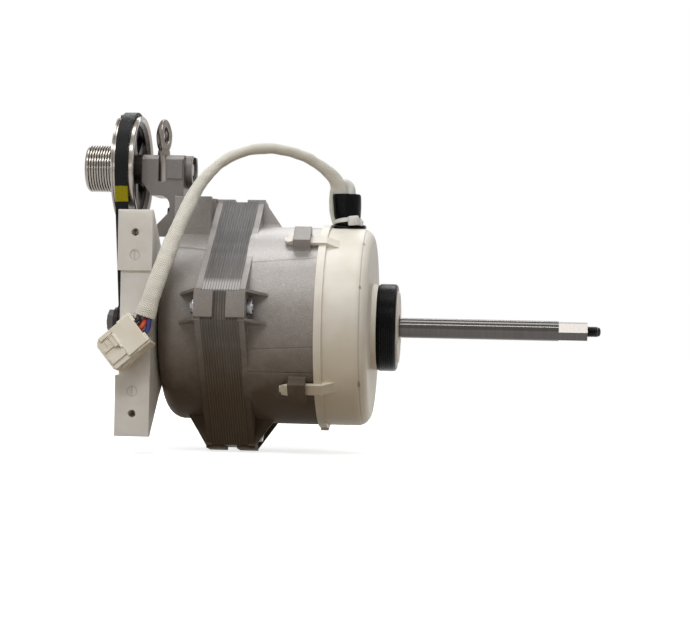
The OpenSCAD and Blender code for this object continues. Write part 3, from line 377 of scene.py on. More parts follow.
def rubber(name, colour, dust, ridge=None, roughness=0.38):
    """Black rubber with dust in its pores, and fine rings round the X axis where ridge is their pitch."""
    s = Surface(name, roughness=roughness, Specular_IOR_Level=0.08)
    pores = s.noise(0.6 * MM, 4, 0.7)
    wipe = s.noise(9 * MM, 3, stretch=(0.3, 2, 2))
    tone = s.mix(s.level(pores, 0.45, 0.8, 0, 0.35), colour, dust)
    tone = s.mix(s.level(wipe, 0.55, 0.8, 0, 0.3), tone, dust)
    s.set(Base_Color=tone, Roughness=s.level(pores, 0.3, 0.7, roughness - 0.08, roughness + 0.1))
    s.bump(pores, 0.05 * MM)
    if ridge:
        s.bump(s.stripes(s.axis("X"), ridge), 0.16 * MM)
    return s.material


def laminations():
    """Edges of stacked steel sheets: lines across X, darker bands, and a paler band on the near side at the
    lugs.
    """
    s = Surface("lamination_edges", metallic=0.05)
    film_and_shade = s.film_and_shade()
    along = s.axis("X")
    coarse = s.stripes(along, STACK_W / STACK_GROOVES)
    fine = s.stripes(along, 0.5 * MM)
    sheets = s.noise(0.55 * MM, 2, 0.6, stretch=(1, 40, 40))
    bands = s.noise(8 * MM, 2, 0.4, stretch=(12, 1, 1))
    colour = s.mix(s.level(sheets, 0.35, 0.65), srgb(58, 54, 52), srgb(102, 98, 96))
    colour = s.mix(s.level(bands, 0.4, 0.6, 0, 0.5), colour, srgb(54, 51, 51))
    # Painted shade and oil: the brown film makes the lower half darker and browner.
    colour = s.mix(s.math("MULTIPLY", film_and_shade, 0.9), colour, srgb(96, 80, 56))
    height = s.axis("Z")
    # A paler band on the near side, between about 19 and 27 mm up.
    pale_band = s.math("MULTIPLY", s.level(height, 19 * MM, 20 * MM), s.level(height, 27 * MM, 24 * MM))
    pale_band = s.math("MULTIPLY", pale_band, s.math("LESS_THAN", s.axis("Y"), -30 * MM))
    colour = s.mix(s.math("MULTIPLY", pale_band, 0.6), colour, srgb(206, 203, 200))
    colour = s.mix(s.level(coarse, 0.0, 0.5, 0.7, 0), colour, srgb(44, 37, 29))
    s.set(Base_Color=colour, Roughness=s.level(sheets, 0.3, 0.7, 0.42, 0.34))
    s.set(Specular_IOR_Level=s.level(film_and_shade, 0, 1, 0.7, 0.1))
    s.bump(fine, 0.04 * MM)
    s.bump(coarse, 0.06 * MM)
    return s.material


def braid(pitch=1.15 * MM):
    """Braided sleeving: two sets of crossing threads, laid out by the tube's own map in metres."""
    s = Surface("braided_sleeving", roughness=0.75, Sheen_Weight=0.25, Sheen_Roughness=0.5)
    uv = s.add("UVMap", uv_map="along").outputs[0]
    across, along = s.axis("X", uv), s.axis("Y", uv)
    one = s.stripes(s.math("ADD", across, along), pitch)
    other = s.stripes(s.math("SUBTRACT", across, along), pitch)
    weave = s.math("MAXIMUM", one, other)
    threads = s.level(weave, 0.45, 0.95)
    soil = s.noise(12 * MM, 4)
    colour = s.mix(threads, srgb(200, 195, 174), srgb(255, 252, 243))
    colour = s.mix(s.level(soil, 0.5, 0.8, 0, 0.25), colour, srgb(206, 196, 174))
    s.set(Base_Color=colour)
    s.bump(weave, 0.24 * MM)
    s.bump(s.noise(5 * MM, 2), 0.3 * MM)
    return s.material


def wire_skin(name, colour):
    """Smooth insulation with duller smears."""
    s = Surface(name, roughness=0.38)
    smear = s.noise(4 * MM, 3)
    dull = tuple(0.6 * c for c in colour[:3]) + (1.0,)
    s.set(Base_Color=s.mix(s.level(smear, 0.4, 0.75, 0, 0.6), colour, dull))
    s.bump(smear, 0.05 * MM)
    return s.material


def belt_rubber():
    """Belt rubber with cloth grain, and one painted mark across the outside."""
    s = Surface("belt_rubber", roughness=0.45, Specular_IOR_Level=0.12)
    cloth = s.noise(0.5 * MM, 3, 0.6, stretch=(1, 2, 2))
    worn = s.noise(12 * MM, 3, stretch=(0.5, 2, 2))
    colour = s.mix(s.level(cloth, 0.4, 0.8, 0, 0.6), srgb(9, 9, 11), srgb(28, 27, 28))
    colour = s.mix(s.level(worn, 0.5, 0.8, 0, 0.4), colour, srgb(34, 32, 32))
    height, near = s.axis("Z"), s.axis("Y")
    ragged = s.math("ADD", height, s.math("MULTIPLY", s.noise(1.6 * MM, 3), 0.8 * MM))
    blur = 0.1 * MM
    upper = s.level(ragged, PAINT_TOP + blur, PAINT_TOP - blur)
    lower = s.level(ragged, PAINT_BOTTOM - blur, PAINT_BOTTOM + blur)
    front = s.level(near, PAINT_Y, PAINT_Y - MM)
    mark = s.math("MULTIPLY", s.math("MULTIPLY", upper, lower), front)
    paint = s.mix(s.level(cloth, 0.3, 0.8), srgb(178, 168, 24), srgb(128, 116, 18))
    s.set(Base_Color=s.mix(mark, colour, paint))
    s.bump(cloth, 0.08 * MM)
    return s.material


def wound_copper():
    """Enamelled wire, wound along X."""
    s = Surface("enamelled_copper", metallic=0.6, Coat_Weight=0.3)
    turns = s.noise(0.7 * MM, 2, stretch=(12, 1, 1))
    colour = s.mix(turns, srgb(120, 58, 26), srgb(206, 124, 74))
    s.set(Base_Color=colour, Roughness=s.level(turns, 0.3, 0.7, 0.3, 0.5))
    s.bump(turns, 0.2 * MM)
    return s.material


MATERIALS = {
    "front_casting": cast_metal("front_casting", srgb(190, 185, 182), srgb(152, 146, 141), 0.7,
                                seams=FRONT_SEAMS, lug_shade=0.45),
    # The rear casting is the front one's metal in darker colours with fewer glints: painted shade.
    "rear_casting_shaded": cast_metal("rear_casting_shaded", srgb(154, 148, 143), srgb(122, 115, 109), 0.3,
                               seams=REAR_SEAMS),
    "bracket": cast_metal("bracket_casting", srgb(116, 107, 101), srgb(84, 76, 71), 0.08),
    "shaft": turned_metal("ground_steel", srgb(81, 79, 77), srgb(68, 65, 62), 0.13, depth=0, uneven=0.03,
                          height=0, until=SHAFT_ROUND_END),
    "bright": turned_metal("bright_turned_metal", srgb(150, 145, 139), srgb(122, 115, 107), 0.2, depth=0,
                           uneven=0.04, height=AXLE_Z),
    "spoked": turned_metal("spoked_casting", srgb(150, 145, 139), srgb(122, 115, 107), 0.2, depth=0,
                           uneven=0.04, height=AXLE_Z, raw=(SPOKES_R, SPOKES_END, WEB_R)),
    "dark_steel": turned_metal("dark_steel", srgb(50, 48, 47), srgb(30, 28, 27), 0.36, height=0),
    "nut": turned_metal("nut_steel", srgb(92, 89, 87), srgb(44, 42, 40), 0.32, line=2.2 * MM, depth=0),
    "zinc": turned_metal("zinc_plate", srgb(150, 150, 153), srgb(104, 102, 104), 0.24, line=1.2 * MM,
                         depth=0),
    "cover": moulded_plastic("cream_plastic", srgb(237, 232, 222), srgb(226, 219, 204), dirt=srgb(96, 84, 66),
                             step=COVER_STEP),
    "block": moulded_plastic("white_nylon", srgb(238, 236, 231), srgb(224, 221, 214), 0.5,
                             dirt=srgb(150, 140, 124), marks=MOULD_MARKS, Subsurface_Weight=0.6,
                             Subsurface_Scale=6 * MM, Subsurface_Radius=(1, 0.95, 0.85)),
    "plug": moulded_plastic("connector_nylon", srgb(244, 239, 226), srgb(232, 224, 204), 0.4),
    "tie": moulded_plastic("tie_nylon", srgb(240, 239, 236), srgb(226, 225, 220), 0.35),
    "ring": rubber("ring_rubber", srgb(5, 5, 6), srgb(28, 27, 28), ridge=1.3 * MM, roughness=0.27),
    "inner_ring": rubber("cradle_rubber", srgb(18, 17, 17), srgb(60, 56, 52)),
    "gland": rubber("shrink_sleeve", srgb(3, 3, 4), srgb(16, 15, 16), roughness=0.22),
    "belt": belt_rubber(),
    "laminations": laminations(),
    "braid": braid(),
    "copper": wound_copper(),
    "board": moulded_plastic("circuit_board", srgb(38, 84, 48), srgb(26, 62, 36), 0.35),
    "chips": moulded_plastic("board_parts", srgb(44, 44, 46), srgb(70, 68, 66), 0.4),
    "magnet": rubber("ferrite", srgb(44, 42, 42), srgb(92, 88, 84), roughness=0.45),
    "insulator": moulded_plastic("insulator_plastic", srgb(214, 204, 180), srgb(190, 178, 150), 0.5),
    "forged": turned_metal("forged_plate", srgb(150, 143, 137), srgb(88, 80, 74), 0.26, line=3 * MM,
                           depth=0.03 * MM),
    "contact": turned_metal("contact_brass", srgb(224, 190, 110), srgb(170, 132, 66), 0.3),
}
NODE_MATERIALS = {
    "front_casting": ["front_end_shield"],
    "rear_casting_shaded": ["rear_end_shield"],
    "bracket": ["pulley_bracket"],
    "shaft": ["motor_shaft", "rotor_core"],
    "bright": ["drum_pulley", "countershaft"],
    "spoked": ["large_pulley"],
    "dark_steel": ["motor_pulley"],
    "nut": ["pulley_nut"],
    "zinc": [
        "through_screws", "screw_nuts", "bracket_screws", "eye_pin", "countershaft_circlip", "wave_washer",
        "front_bearing_inner", "front_bearing_outer", "front_bearing_balls", "rear_bearing_inner",
        "rear_bearing_outer", "rear_bearing_balls", "countershaft_bearings", "countershaft_races",
        "countershaft_balls", "tension_eye",
    ],
    "cover": ["front_cover"],
    "block": ["mounting_block"],
    "plug": ["connector_housing"],
    "tie": ["cable_tie"],
    "ring": ["front_mount_ring"],
    "inner_ring": ["rear_mount_ring"],
    "gland": ["cable_gland"],
    "belt": ["drive_belt"],
    "laminations": ["stator_core"],
    "braid": ["harness_sleeve", "side_lead", "spare_sleeve"],
    "copper": ["stator_windings"],
    "board": ["circuit_board"],
    "chips": ["board_parts", "harness_wires"],
    "magnet": ["rotor_magnets"],
    "insulator": ["insulator_front", "insulator_rear"],
    "contact": ["connector_terminals"],
}
for material, names in NODE_MATERIALS.items():
    for name in names:
        NODES[name].data.materials.clear()
        NODES[name].data.materials.append(MATERIALS[material])


# Mesh helpers

# The way along which a flattened tube is thin
THIN_WAY = Vector((0, 1, 0.2))


def angles(count):
    """Even steps round a circle."""
    return [2 * math.pi * i / count for i in range(count)]


def squarish(angle, power):
    """Cosine and sine of an angle, drawn out towards the corners of a square by a power below 1."""
    return [math.copysign(abs(part) ** power, part) for part in (math.cos(angle), math.sin(angle))]


def add_piece(name, mesh, material, body="root", replaces=(), smooth=True):
    """A piece of the object, with its material, on its body."""
    piece = bpy.data.objects.new(name, mesh)
    bpy.context.collection.objects.link(piece)
    mesh.materials.append(MATERIALS[material])
    if smooth:
        mesh.polygons.foreach_set("use_smooth", [True] * len(mesh.polygons))
    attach(piece, body)
    if replaces:
        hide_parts(*replaces)
    return piece


def smooth_line(points, per_span):
    """A smooth line through the points, with per_span steps from each to the next."""
    ends = [2 * points[0] - points[1], *points, 2 * points[-1] - points[-2]]
    line = []
    for a, b, c, d in zip(ends, ends[1:], ends[2:], ends[3:]):
        for i in range(per_span):
            t = i / per_span
            line.append(0.5 * (2 * b + (c - a) * t + (2 * a - 5 * b + 4 * c - d) * t * t
                               + (3 * b - a - 3 * c + d) * t ** 3))
    return [*line, points[-1]]


def between(table, share):
    """The value at a share from 0 to 1 in a table of (share, value)."""
    for (s0, v0), (s1, v1) in zip(table, table[1:]):
        if share <= s1:
            t = (share - s0) / (s1 - s0)
            return v0 + (v1 - v0) * t * t * (3 - 2 * t)
    return table[-1][1]


def mesh_of(name, bm):
    """The mesh that has been built in bm, with its faces turned outward."""
    mesh = bpy.data.meshes.new(name)
    bmesh.ops.recalc_face_normals(bm, faces=bm.faces)
    bm.to_mesh(mesh)
    bm.free()
    return mesh


def swept(name, line, width, depth, sides, rumple=0.0):
    """A closed tube along a line. width and depth are tables of its half sizes across and along THIN_WAY."""
    bm = bmesh.new()
    uv = bm.loops.layers.uv.new("along")
    reach = [0.0]
    for a, b in zip(line, line[1:]):
        reach.append(reach[-1] + (b - a).length)
    rings = []
    for i, centre in enumerate(line):
        way = (line[min(i + 1, len(line) - 1)] - line[max(i - 1, 0)]).normalized()
        across = way.cross(THIN_WAY).normalized()
        side = way.cross(across)
        share = reach[i] / reach[-1]
        half_w, half_d = between(width, share), between(depth, share)
        ring = []
        for a in angles(sides):
            place = centre + across * half_w * math.cos(a) + side * half_d * math.sin(a)
            if rumple:
                place += (place - centre).normalized() * noise.noise(place / (5 * MM)) * rumple
            ring.append(bm.verts.new(place))
        rings.append(ring)
    girth = math.pi * (between(width, 0.5) + between(depth, 0.5))
    for i, (low, high) in enumerate(zip(rings, rings[1:])):
        for k in range(sides):
            after = (k + 1) % sides
            face = bm.faces.new((low[k], low[after], high[after], high[k]))
            places = ((k, i), (k + 1, i), (k + 1, i + 1), (k, i + 1))
            for loop, (around, step) in zip(face.loops, places):
                loop[uv].uv = (girth * around / sides, reach[step])
    for ring in (rings[0][::-1], rings[-1]):
        bm.faces.new(ring)
    return mesh_of(name, bm)


def lofted(name, rings, loop=False):
    """A closed mesh through rings of equally many points. loop joins the last ring to the first."""
    bm = bmesh.new()
    rows = [[bm.verts.new(p) for p in ring] for ring in rings]
    pairs = list(zip(rows, rows[1:]))
    if loop:
        pairs.append((rows[-1], rows[0]))
    count = len(rows[0])
    for low, high in pairs:
        for k in range(count):
            after = (k + 1) % count
            bm.faces.new((low[k], low[after], high[after], high[k]))
    if not loop:
        for ring in (rows[0][::-1], rows[-1]):
            bm.faces.new(ring)
    return mesh_of(name, bm)


def sharpen(piece, degrees=35):
    """Keeps the edges sharp that are steeper than this, and smooths the rest."""
    bm = bmesh.new()
    bm.from_mesh(piece.data)
    for edge in bm.edges:
        edge.smooth = not edge.is_manifold or edge.calc_face_angle(0) < math.radians(degrees)
    bm.to_mesh(piece.data)
    bm.free()


def soften(piece, width):
    """Rounds the edges of a piece."""
    bevel = piece.modifiers.new("round", "BEVEL")
    bevel.width = width
    bevel.segments = 2
    bevel.limit_method = "ANGLE"
    bevel.angle_limit = math.radians(35)
    bevel.harden_normals = True


def add_block(bm, low, high, place, round_by):
    """Adds a box from one corner to the other, in mm in the axes of place, with its edges rounded."""
    low, high = Vector(low), Vector(high)
    made = bmesh.ops.create_cube(bm, size=1)
    for vert in made["verts"]:
        share = vert.co + Vector((0.5, 0.5, 0.5))
        vert.co = place @ (Vector([a + (b - a) * s for a, b, s in zip(low, high, share)]) * MM)
    edges = list(dict.fromkeys(edge for vert in made["verts"] for edge in vert.link_edges))
    bmesh.ops.bevel(bm, geom=edges, offset=round_by * MM, segments=2, profile=0.6, affect="EDGES")


# Harness: braided sleeve, four wires and their connector

SLEEVE_POINTS = [Vector(p) * MM for p in (
    (-30.6, 0, 76.5), (-31, 0, 82), (-33.4, -1, 88), (-38.6, -4, 93.8), (-45, -7, 98),
    (-53, -11, 102), (-63, -15, 104.5), (-73, -20, 105), (-83, -24.5, 103.5), (-93, -29.5, 99),
    (-101, -35, 92.5), (-107.5, -40.5, 84), (-112.5, -45.5, 74), (-116.5, -51.5, 63),
    (-120, -57, 52.5), (-123, -62, 42), (-126, -66.5, 31.5), (-129, -70, 21), (-131.5, -72, 12),
    (-133.9, -72.9, 3.6),
)]
SLEEVE_LINE = smooth_line(SLEEVE_POINTS, 12)


def make_sleeve():
    """The braid hugs the wires at the arch and lies flat and broad towards the connector."""
    width = [(0, 4.6 * MM), (0.035, 4.7 * MM), (0.09, 3.7 * MM), (0.16, 3.2 * MM), (0.45, 3.0 * MM),
             (0.65, 4.2 * MM), (0.85, 4.9 * MM), (0.95, 5.3 * MM), (1, 6.0 * MM)]
    depth = [(0, 4.0 * MM), (0.12, 3.0 * MM), (0.45, 2.9 * MM), (0.7, 3.1 * MM), (1, 3.1 * MM)]
    mesh = swept("braided_sleeve", SLEEVE_LINE, width, depth, sides=28, rumple=0.45 * MM)
    return add_piece("braided_sleeve", mesh, "braid", replaces=["harness_sleeve"])


# The connector's own axes: the wires enter at +X, and the latch is on the side -Y
PLUG_PLACE = (Matrix.Translation(PLUG_MID) @ Matrix.Rotation(-PLUG_TURN, 4, "Y")
              @ Matrix.Rotation(-PLUG_TILT, 4, "X"))

# For each wire, in mm: its place across the braid, how far off the middle it is, and its Z in the connector
WIRE_PLACES = ((-3.3, -0.6, 5.4), (-1.1, 0.9, 2.7), (0.7, -1.1, 0.1), (3.0, 0.3, -3.3))
WIRE_COLOURS = {
    "black": srgb(20, 20, 22),
    "brown": srgb(58, 44, 32),
    "orange": srgb(206, 72, 34),
    "blue": srgb(32, 42, 116),
}


def plug_point(x, y, z):
    """A point that is given in mm in the connector's axes."""
    return PLUG_PLACE @ (Vector((x, y, z)) * MM)


def make_wires():
    """Four wires leave the braid beside each other and bend into the sockets of the connector."""
    end = SLEEVE_LINE[-1]
    heading = (end - SLEEVE_LINE[-2]).normalized()
    side = heading.cross(THIN_WAY).normalized()
    out = heading.cross(side)
    wires = []
    for (across, off, height), (name, colour) in zip(WIRE_PLACES, WIRE_COLOURS.items()):
        MATERIALS[name] = wire_skin("wire_" + name, colour)
        start = end + (side * across + out * off) * MM
        line = smooth_line([
            start - heading * 6 * MM, start, plug_point(14.2, off, height + 0.4), plug_point(10, off, height),
            plug_point(6.5, off, height),
        ], 10)
        thick = [(0, 1.2 * MM), (0.4, 1.5 * MM), (1, 1.3 * MM)]
        mesh = swept("wire_" + name, line, thick, thick, sides=14)
        wires.append(add_piece("wire_" + name, mesh, name, replaces=["harness_wires"]))
    return wires


def make_connector():
    """A housing that is hollow at both ends and narrower at its nose, with a latch, ribs and four sockets."""
    half = PLUG_SIZE / 2 / MM
    outer = (-half.y + 1.6, half.y, -half.z + 0.6, half.z - 0.6)
    inner = (outer[0] + 1.1, outer[1] - 1.1, outer[2] + 1.1, outer[3] - 1.1)
    y0, y1, z0, z1 = outer
    sections = [
        (-2, inner),
        (1.6 - half.x, inner),
        (-half.x - 1.2, (y0 + 1, y1 - 1, z0 + 2, z1 - 4.4)),
        (-half.x - 1.2, (y0 + 0.2, y1, z0 + 1.2, z1 - 3.6)),
        (0.4 - half.x, (y0, y1, z0, z1 - 1.2)),
        (3.4 - half.x, outer),
        (half.x - 0.8, outer),
        (half.x - 0.8, inner),
        (half.x - 4.5, inner),
    ]
    bm = bmesh.new()
    rows = []
    for x, (low_y, high_y, low_z, high_z) in sections:
        corners = ((low_y, low_z), (high_y, low_z), (high_y, high_z), (low_y, high_z))
        rows.append([bm.verts.new(plug_point(x, y, z)) for y, z in corners])
    for low, high in zip(rows, rows[1:]):
        for k in range(4):
            bm.faces.new((low[k], low[(k + 1) % 4], high[(k + 1) % 4], high[k]))
    for ring in (rows[0], rows[-1]):
        bm.faces.new(ring)
    face = -half.y
    top = face + 1.9
    blocks = [
        # Raised plate at the wires, and an arm on either side of the latch
        ((-1.8, face, -half.z + 1.2), (half.x - 0.4, top, half.z - 1.2)),
        ((-half.x + 2.2, face + 0.3, 7.4), (-1.6, top, half.z - 1.0)),
        ((-half.x + 0.3, face + 0.3, -7.6), (-1.6, top, -3.4)),
        # Latch with two raised edges
        ((-5.2, face - 0.35, -0.8), (-0.8, face + 0.9, 6.2)),
        ((-2.6, face - 0.8, -3.2), (-1.5, face + 0.4, 6.6)),
        ((-5.6, face - 0.6, 6.0), (-1.5, face + 0.4, 6.9)),
        # Low steps between the arms
        ((-half.x + 0.6, face + 0.7, 0.6), (-4.9, top, 2.6)),
        ((-8.8, face + 0.7, 2.4), (-4.9, top, 6.4)),
        # Collars at the wires
        ((half.x - 9, face + 1.2, -half.z), (half.x, half.y - 0.6, -half.z + 1.3)),
        ((half.x - 9, face + 1.2, half.z - 1.3), (half.x, half.y - 0.6, half.z)),
        # Ribs of the lower side
        ((-half.x + 0.4, -0.4, -half.z - 0.2), (half.x - 8.6, 1.4, -half.z + 1.2)),
        ((-3.6, face + 2.2, -half.z + 0.1), (-1.2, half.y - 1, -half.z + 1.2)),
        ((-half.x + 1.4, face + 1.9, -half.z + 0.2), (-half.x + 3, half.y - 1, -half.z + 1.2)),
        # Lips over the wires
        ((half.x - 2.2, face + 0.6, -9.6), (half.x + 0.7, face + 2.2, -4.4)),
        ((half.x - 2.2, face + 0.6, 4.6), (half.x + 0.5, face + 2.2, 9.4)),
    ]
    for wall in (-4.2, 0, 4.2):
        blocks.append(((half.x - 4.5, face + 3, wall - 0.3), (half.x - 1.2, half.y - 1, wall + 0.3)))
    for low, high in blocks:
        add_block(bm, low, high, PLUG_PLACE, 0.35)
    piece = add_piece("connector", mesh_of("connector", bm), "plug",
                      replaces=["connector_housing"], smooth=False)
    soften(piece, 0.22 * MM)
    return piece


# Forged eye that stands in the slot of the bracket

def make_eye():
    """A leaf-shaped ring, thick at the point and the foot, on a flat shank that twists into it."""
    turn = Matrix.Translation((EYE_X, EYE_Y, EYE_MIDDLE_Z)) @ Matrix.Rotation(math.radians(60), 4, "Z")
    rings = []
    for a in angles(56):
        upper = max(0.0, math.cos(a))
        centre = Vector((3.7 * math.sin(a) * (1 - 0.25 * upper ** 2), 0, 7.5 * math.cos(a)))
        ahead = Vector((3.7 * math.cos(a), 0, -7.5 * math.sin(a))).normalized()
        outward = Vector((-ahead.z, 0, ahead.x))
        half_w = 1.5 + 1.15 * abs(math.cos(a)) ** 3
        half_d = 2.6 - 0.9 * upper ** 2
        ring = []
        for b in angles(16):
            c, s = squarish(b, 0.72)
            ring.append(turn @ ((centre + outward * half_w * c + Vector((0, half_d * s, 0))) * MM))
        rings.append(ring)
    bm = bmesh.new()
    bm.from_mesh(lofted("ring", rings, loop=True))
    # Height, half sizes and turn of the shank, in mm and degrees
    sections = [
        (78.6, 2.5, 1.3, 0), (88, 2.5, 1.3, 0), (96, 2.6, 1.35, 0), (99.5, 3.0, 1.8, 10),
        (101.8, 3.6, 2.3, 30), (103.6, 3.2, 2.6, 48), (105.6, 2.4, 2.5, 60),
    ]
    rings = []
    for height, half_w, half_d, degrees in sections:
        middle = Vector((EYE_X, EYE_Y, height * MM))
        a = math.radians(degrees)
        across, deep = Vector((math.cos(a), math.sin(a), 0)), Vector((-math.sin(a), math.cos(a), 0))
        ring = []
        for b in angles(20):
            c, s = squarish(b, 0.45)
            ring.append(middle + (across * half_w * c + deep * half_d * s) * MM)
        rings.append(ring)
    bm.from_mesh(lofted("shank", rings))
    piece = add_piece("forged_eye", mesh_of("forged_eye", bm), "forged", body="eye",
                      replaces=["tension_eye"])
    sharpen(piece, 50)


# Belt

def make_belt():
    """A belt round both pulleys, flat outside, with four ribs along its inside."""
    lean = math.asin((LARGE_PULLEY_R - SMALL_PULLEY_R) / AXLE_Z)
    steps = 48
    path = []
    for i in range(steps + 1):
        path.append((AXLE_Z, LARGE_PULLEY_R, -lean + (math.pi + 2 * lean) * i / steps))
    for i in range(steps + 1):
        path.append((0, SMALL_PULLEY_R, math.pi + lean + (math.pi - 2 * lean) * i / steps))
    thick, half, ribs, rib_depth = 2.3 * MM, BELT_W / 2, 4, 0.95 * MM
    side_start, corner, gap = 0.25 * MM, 0.2 * MM, 0.1 * MM
    section = [(half, side_start), (half, thick - corner), (half - corner, thick),
               (-half + corner, thick), (-half, thick - corner), (-half, side_start)]
    pitch = 2 * half / ribs
    for i in range(ribs):
        left = -half + i * pitch
        section += [(left + 0.3 * pitch, 0), (left + 0.7 * pitch, 0)]
        if i < ribs - 1:
            section.append((left + pitch, rib_depth))
    rings = []
    for height, radius, a in path:
        ring = []
        for x, out in section:
            r = radius + gap + out
            ring.append(Vector((BELT_MID + x, r * math.cos(a), height + r * math.sin(a))))
        rings.append(ring)
    mesh = lofted("ribbed_belt", rings, loop=True)
    piece = add_piece("ribbed_belt", mesh, "belt", replaces=["drive_belt"])
    sharpen(piece)


# Gland with its sleeve, tie and leads

def make_gland():
    """A shrunk black sleeve, a little crooked, on a thin square foot."""
    middle_x = -25
    # Height, radius and unevenness, in mm: up the outside, over the lip and down inside
    sections = [
        (59.6, 6.5, 0), (60.9, 7.6, 0), (62.0, 7.6, 0.1), (63.2, 7.3, 0.05), (64.6, 7.4, 0.05),
        (66.2, 7.9, 0.15), (69, 8.1, 0.25), (72, 8.2, 0.3), (75, 8.35, 0.25), (77.6, 8.45, 0.3),
        (79.2, 8.45, 0.2), (79.8, 8.1, 0.1), (79.5, 7.7, 0.05), (77.6, 7.5, 0), (76.8, 6.4, 0),
        (76.8, 0.4, 0),
    ]
    rings = []
    for height, radius, wave in sections:
        lean = -0.4 - 1.2 * (height - 60) / 19
        ring = []
        for a in angles(40):
            r = radius + wave * (math.sin(2 * a + 0.6) + 0.5 * math.sin(5 * a + height * 0.35))
            ring.append(Vector((middle_x + lean + r * math.cos(a), r * math.sin(a), height)) * MM)
        rings.append(ring)
    bm = bmesh.new()
    bm.from_mesh(lofted("sleeve", rings))
    rings = []
    for height, half in ((59.3, 8.8), (60.6, 9.0), (61.2, 8.5), (61.5, 7.4)):
        ring = []
        for a in angles(40):
            c, s = squarish(a, 0.45)
            reach = half + 1.6 * max(0, math.cos(a))
            drop = 0.9 * max(0, -math.sin(a)) ** 2
            ring.append(Vector((middle_x + reach * c, half * s, height - drop)) * MM)
        rings.append(ring)
    bm.from_mesh(lofted("foot", rings))
    piece = add_piece("gland_sleeve", mesh_of("gland_sleeve", bm), "gland",
                      replaces=["cable_gland"])
    sharpen(piece, 50)


def make_tie():
    """A nylon strap round the gland, low on the left, with its head at the front right."""
    middle_x = -25.5
    section = ((7.3, -1.3), (8.1, -1.3), (8.4, -1.1), (8.4, 1.1), (8.1, 1.3), (7.3, 1.3))
    rings = []
    for a in angles(64):
        height = 63.1 + 1.3 * math.cos(a - math.radians(300))
        rings.append([Vector((middle_x + out * math.cos(a), out * math.sin(a), height + up)) * MM
                      for out, up in section])
    bm = bmesh.new()
    bm.from_mesh(lofted("strap", rings, loop=True))
    head = (Matrix.Translation(Vector((-21.5, -9.0, 63.6)) * MM) @ Matrix.Rotation(math.radians(18), 4, "Z")
            @ Matrix.Rotation(math.radians(-6), 4, "Y"))
    stub = head @ Matrix.Rotation(math.radians(14), 4, "Y")
    add_block(bm, (-3.4, -2.6, -2.9), (3.3, 1.6, 2.9), head, 1.3)
    add_block(bm, (-2.2, -3.0, -1.6), (1.8, -2.2, 1.5), head, 0.4)
    add_block(bm, (2.6, -1.0, -2.3), (6.2, 0.8, 1.0), stub, 0.6)
    piece = add_piece("nylon_tie", mesh_of("nylon_tie", bm), "tie", replaces=["cable_tie"])
    sharpen(piece, 50)


def make_leads():
    """The loose tail of the braid beside the gland, and the short white sleeve that stands in it."""
    tail = smooth_line([Vector(p) * MM for p in (
        (-33.4, -0.8, 87), (-34.6, -0.8, 83.5), (-35.3, -0.6, 79.4), (-35.5, -0.4, 74.5), (-35.1, -0.2, 69),
        (-34.1, 0, 64.5), (-33.0, 0, 61.4),
    )], 8)
    mesh = swept("braid_tail", tail, [(0, 1.4 * MM), (0.4, 1.8 * MM), (1, 1.5 * MM)],
                 [(0, 2.0 * MM), (0.4, 2.6 * MM), (1, 2.0 * MM)], sides=16, rumple=0.3 * MM)
    add_piece("braid_tail", mesh, "braid", replaces=["side_lead"])
    spare = smooth_line([Vector(p) * MM for p in (
        (-24.0, 0.6, 76), (-23.8, 0.6, 80.5), (-24.5, 0.5, 84.2), (-27.0, 0.4, 87), (-30.4, 0.4, 88.4),
    )], 8)
    mesh = swept("white_sleeve", spare, [(0, 2.7 * MM), (0.6, 2.6 * MM), (1, 1.9 * MM)],
                 [(0, 2.7 * MM), (1, 2.0 * MM)], sides=18, rumple=0.2 * MM)
    add_piece("white_sleeve", mesh, "tie", replaces=["spare_sleeve"])


# Thread on the tip of the shaft

def make_thread():
    """A screw thread round the thin tip of the shaft, lower at its end, where the tip is rounded."""
    sides, per_turn = 24, 4
    pitch, depth, clear = 0.9 * MM, 0.42 * MM, 0.02 * MM
    turns = int((TIP_END - TIP_START) / pitch)
    steps = turns * per_turn
    rings = []
    for i in range(steps + 1):
        x = TIP_START + clear + (turns * pitch) * i / steps
        ring = []
        for k, a in enumerate(angles(sides)):
            phase = (i / per_turn + k / sides) % 1
            r = TIP_R + clear + depth * (1 - abs(2 * phase - 1))
            r -= max(0, i - steps + 3) * 0.12 * MM
            ring.append(Vector((x, r * math.cos(a), r * math.sin(a))))
        rings.append(ring)
    for past, r in ((-0.1 * MM, 2.7 * MM), (0.5 * MM, 2.2 * MM), (0.9 * MM, 1.2 * MM)):
        rings.append([Vector((TIP_END + past, r * math.cos(a), r * math.sin(a))) for a in angles(sides)])
    add_piece("shaft_thread", lofted("shaft_thread", rings), "dark_steel", body="rotor")


# World, floor and lamps

def seen_straight(tree):
    """1 for rays from the camera, also by way of a shiny or a clear surface, and 0 for the rest."""
    path = tree.nodes.new("ShaderNodeLightPath")
    total = path.outputs["Is Camera Ray"]
    for name in ("Is Glossy Ray", "Is Transmission Ray"):
        most = tree.nodes.new("ShaderNodeMath")
        most.operation = "MAXIMUM"
        tree.links.new(total, most.inputs[0])
        tree.links.new(path.outputs[name], most.inputs[1])
        total = most.outputs[0]
    return total


